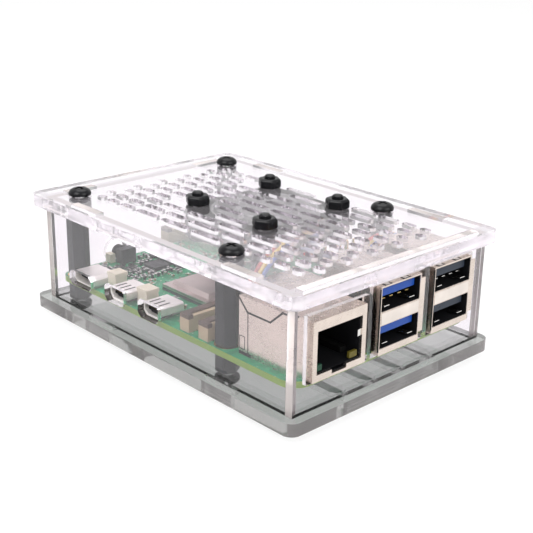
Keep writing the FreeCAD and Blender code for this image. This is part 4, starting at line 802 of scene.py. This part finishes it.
def is_free(x, y, reach):
    """Whether a place keeps its reach from every larger part, which TAKEN lists by x0, y0, x1 and y1."""
    return all(
        x + reach < x0 or x - reach > x1 or y + reach < y0 or y - reach > y1 for x0, y0, x1, y1 in TAKEN
    )


def many_boxes(name, spans):
    """Many small boxes in one mesh: the first is added as an object, and the rest in edit mode."""
    piece = box(name, *spans[0])
    only(piece)
    bpy.ops.object.mode_set(mode="EDIT")
    for low, high in spans[1:]:
        bpy.ops.mesh.primitive_cube_add(size=1.0, location=(low + high) / 2, scale=high - low)
    bpy.ops.object.mode_set(mode="OBJECT")
    return settled(piece, name)


def small_parts():
    bodies = {"brown": [], "dark": [], "ends": []}
    places = []
    while len(places) < PARTS_OF_SUPPLY + PARTS_OVER_BOARD:
        field = SUPPLY_FIELD if len(places) < PARTS_OF_SUPPLY else BOARD_FIELD
        x = round(random.uniform(*field[:2]) * 2.0) / 2.0
        y = round(random.uniform(*field[2:]) * 2.0) / 2.0
        if is_free(x, y, 0.7) and all(abs(x - px) > 0.9 or abs(y - py) > 1.2 for px, py in places):
            places.append((x, y))
    for order, (x, y) in enumerate(places):
        supply = order < PARTS_OF_SUPPLY
        kind = "dark" if supply else random.choice(SMALL_KINDS)
        long, wide, tall = SUPPLY_SIZE if supply else random.choice(SMALL_SIZES)
        if random.random() < 0.5:
            long, wide = wide, long
        low, high = (x - long / 2, y - wide / 2), (x + long / 2, y + wide / 2)
        bodies[kind].append((on_board(*low, 0.0), on_board(*high, tall)))
        reach = max(long, wide) / 2
        spread = min(long, wide) / 2 + 0.02
        for side in (-1.0, 1.0):
            near, far = sorted((side * reach * 0.55, side * (reach + 0.04)))
            if long > wide:
                low, high = (x + near, y - spread), (x + far, y + spread)
            else:
                low, high = (x - spread, y + near), (x + spread, y + far)
            bodies["ends"].append((on_board(*low, 0.0), on_board(*high, tall + 0.03)))
    return bodies


small = small_parts()
ceramic = moulded("ceramic_brown", (0.30, 0.20, 0.12), 0.5)
place_piece(many_boxes("small_capacitors", small["brown"]), ceramic)
resistor = moulded("resistor_dark", (0.02, 0.02, 0.022), 0.4)
place_piece(many_boxes("small_resistors", small["dark"]), resistor)
place_piece(many_boxes("small_ends", small["ends"]), tin_bright)


# Feet of the ribbon connectors: a row of tinned leads along each long side of the two connectors, bent
# flat and soldered to the board.
RIBBON_PLACES = (50.0, 56.6)
FOOT_PITCH = 0.9
feet = []
for x in RIBBON_PLACES:
    for i in range(15):
        y = 1.9 + FOOT_PITCH * i
        feet.append((on_board(x + 1.6, y - 0.15, 0.0), on_board(x + 2.1, y + 0.15, 0.35)))
        feet.append((on_board(x - 2.1, y - 0.15, 0.0), on_board(x - 1.6, y + 0.15, 0.35)))
place_piece(many_boxes("ribbon_feet", feet), tin_bright)


# The room: a white floor that keeps a faint shadow, a white surround, and large soft lamps. The camera,
# glass and metal see the surround at full white, and other rays take less light from it.
FLOOR_REACH = 3.0
FLOOR_THICK = 0.02
EVEN_SHARE = 0.86
SEEN_THROUGH_GLASS = 0.35
WHITE = (1.0, 1.0, 1.0, 1.0)
ROOM_LIGHT = 0.75
RAY_KINDS = ("Is Camera Ray", "Is Transmission Ray", "Is Glossy Ray")
LAMPS = (
    ("key", (0.10, -0.55, 0.60), 0.50, 6.0),
    ("fill", (0.60, 0.10, 0.35), 0.45, 3.0),
    ("top", (-0.15, 0.15, 0.75), 0.60, 4.0),
)



def ray_fields(nodes):
    """What kind of ray looks: straight from the camera, through glass, or mirrored."""
    outputs = nodes.add("ShaderNodeLightPath").outputs
    return [Field(nodes, outputs[kind]) for kind in RAY_KINDS]


floor = box("floor", (-FLOOR_REACH, -FLOOR_REACH, -FLOOR_THICK), (FLOOR_REACH, FLOOR_REACH, 0.0))
ground = Finish("floor_white", (0.88, 0.88, 0.88), 0.9)
direct, through, mirrored = ray_fields(ground)
seen = (direct + through * SEEN_THROUGH_GLASS + mirrored).clamped() * EVEN_SHARE
even = ground.add("ShaderNodeEmission", {"Color": WHITE, "Strength": 1.0})
ground.show(ground.mix(seen, ground.surface, even))
ground.feed("Base Color", ground.blend(ground.noise(40.0), (0.86, 0.86, 0.86), (0.90, 0.90, 0.90)))
ground.give(floor)

world = bpy.data.worlds.new("room")
bpy.context.scene.world = world
room = Nodes(world)
direct, through, mirrored = ray_fields(room)
strength = (direct + through + mirrored).clamped().stretched(0.0, 1.0, ROOM_LIGHT, 1.0)
background = room.tree.nodes["Background"]
room.tree.links.new(strength.socket, background.inputs["Strength"])
background.inputs["Color"].default_value = WHITE

for lamp_name, place, size, power in LAMPS:
    light = bpy.data.lights.new("lamp_" + lamp_name, "AREA")
    light.size = size
    light.energy = power
    lamp = bpy.data.objects.new("lamp_" + lamp_name, light)
    lamp.location = place
    lamp.rotation_euler = (-Vector(place)).to_track_quat("-Z", "Y").to_euler()
    bpy.context.scene.collection.objects.link(lamp)
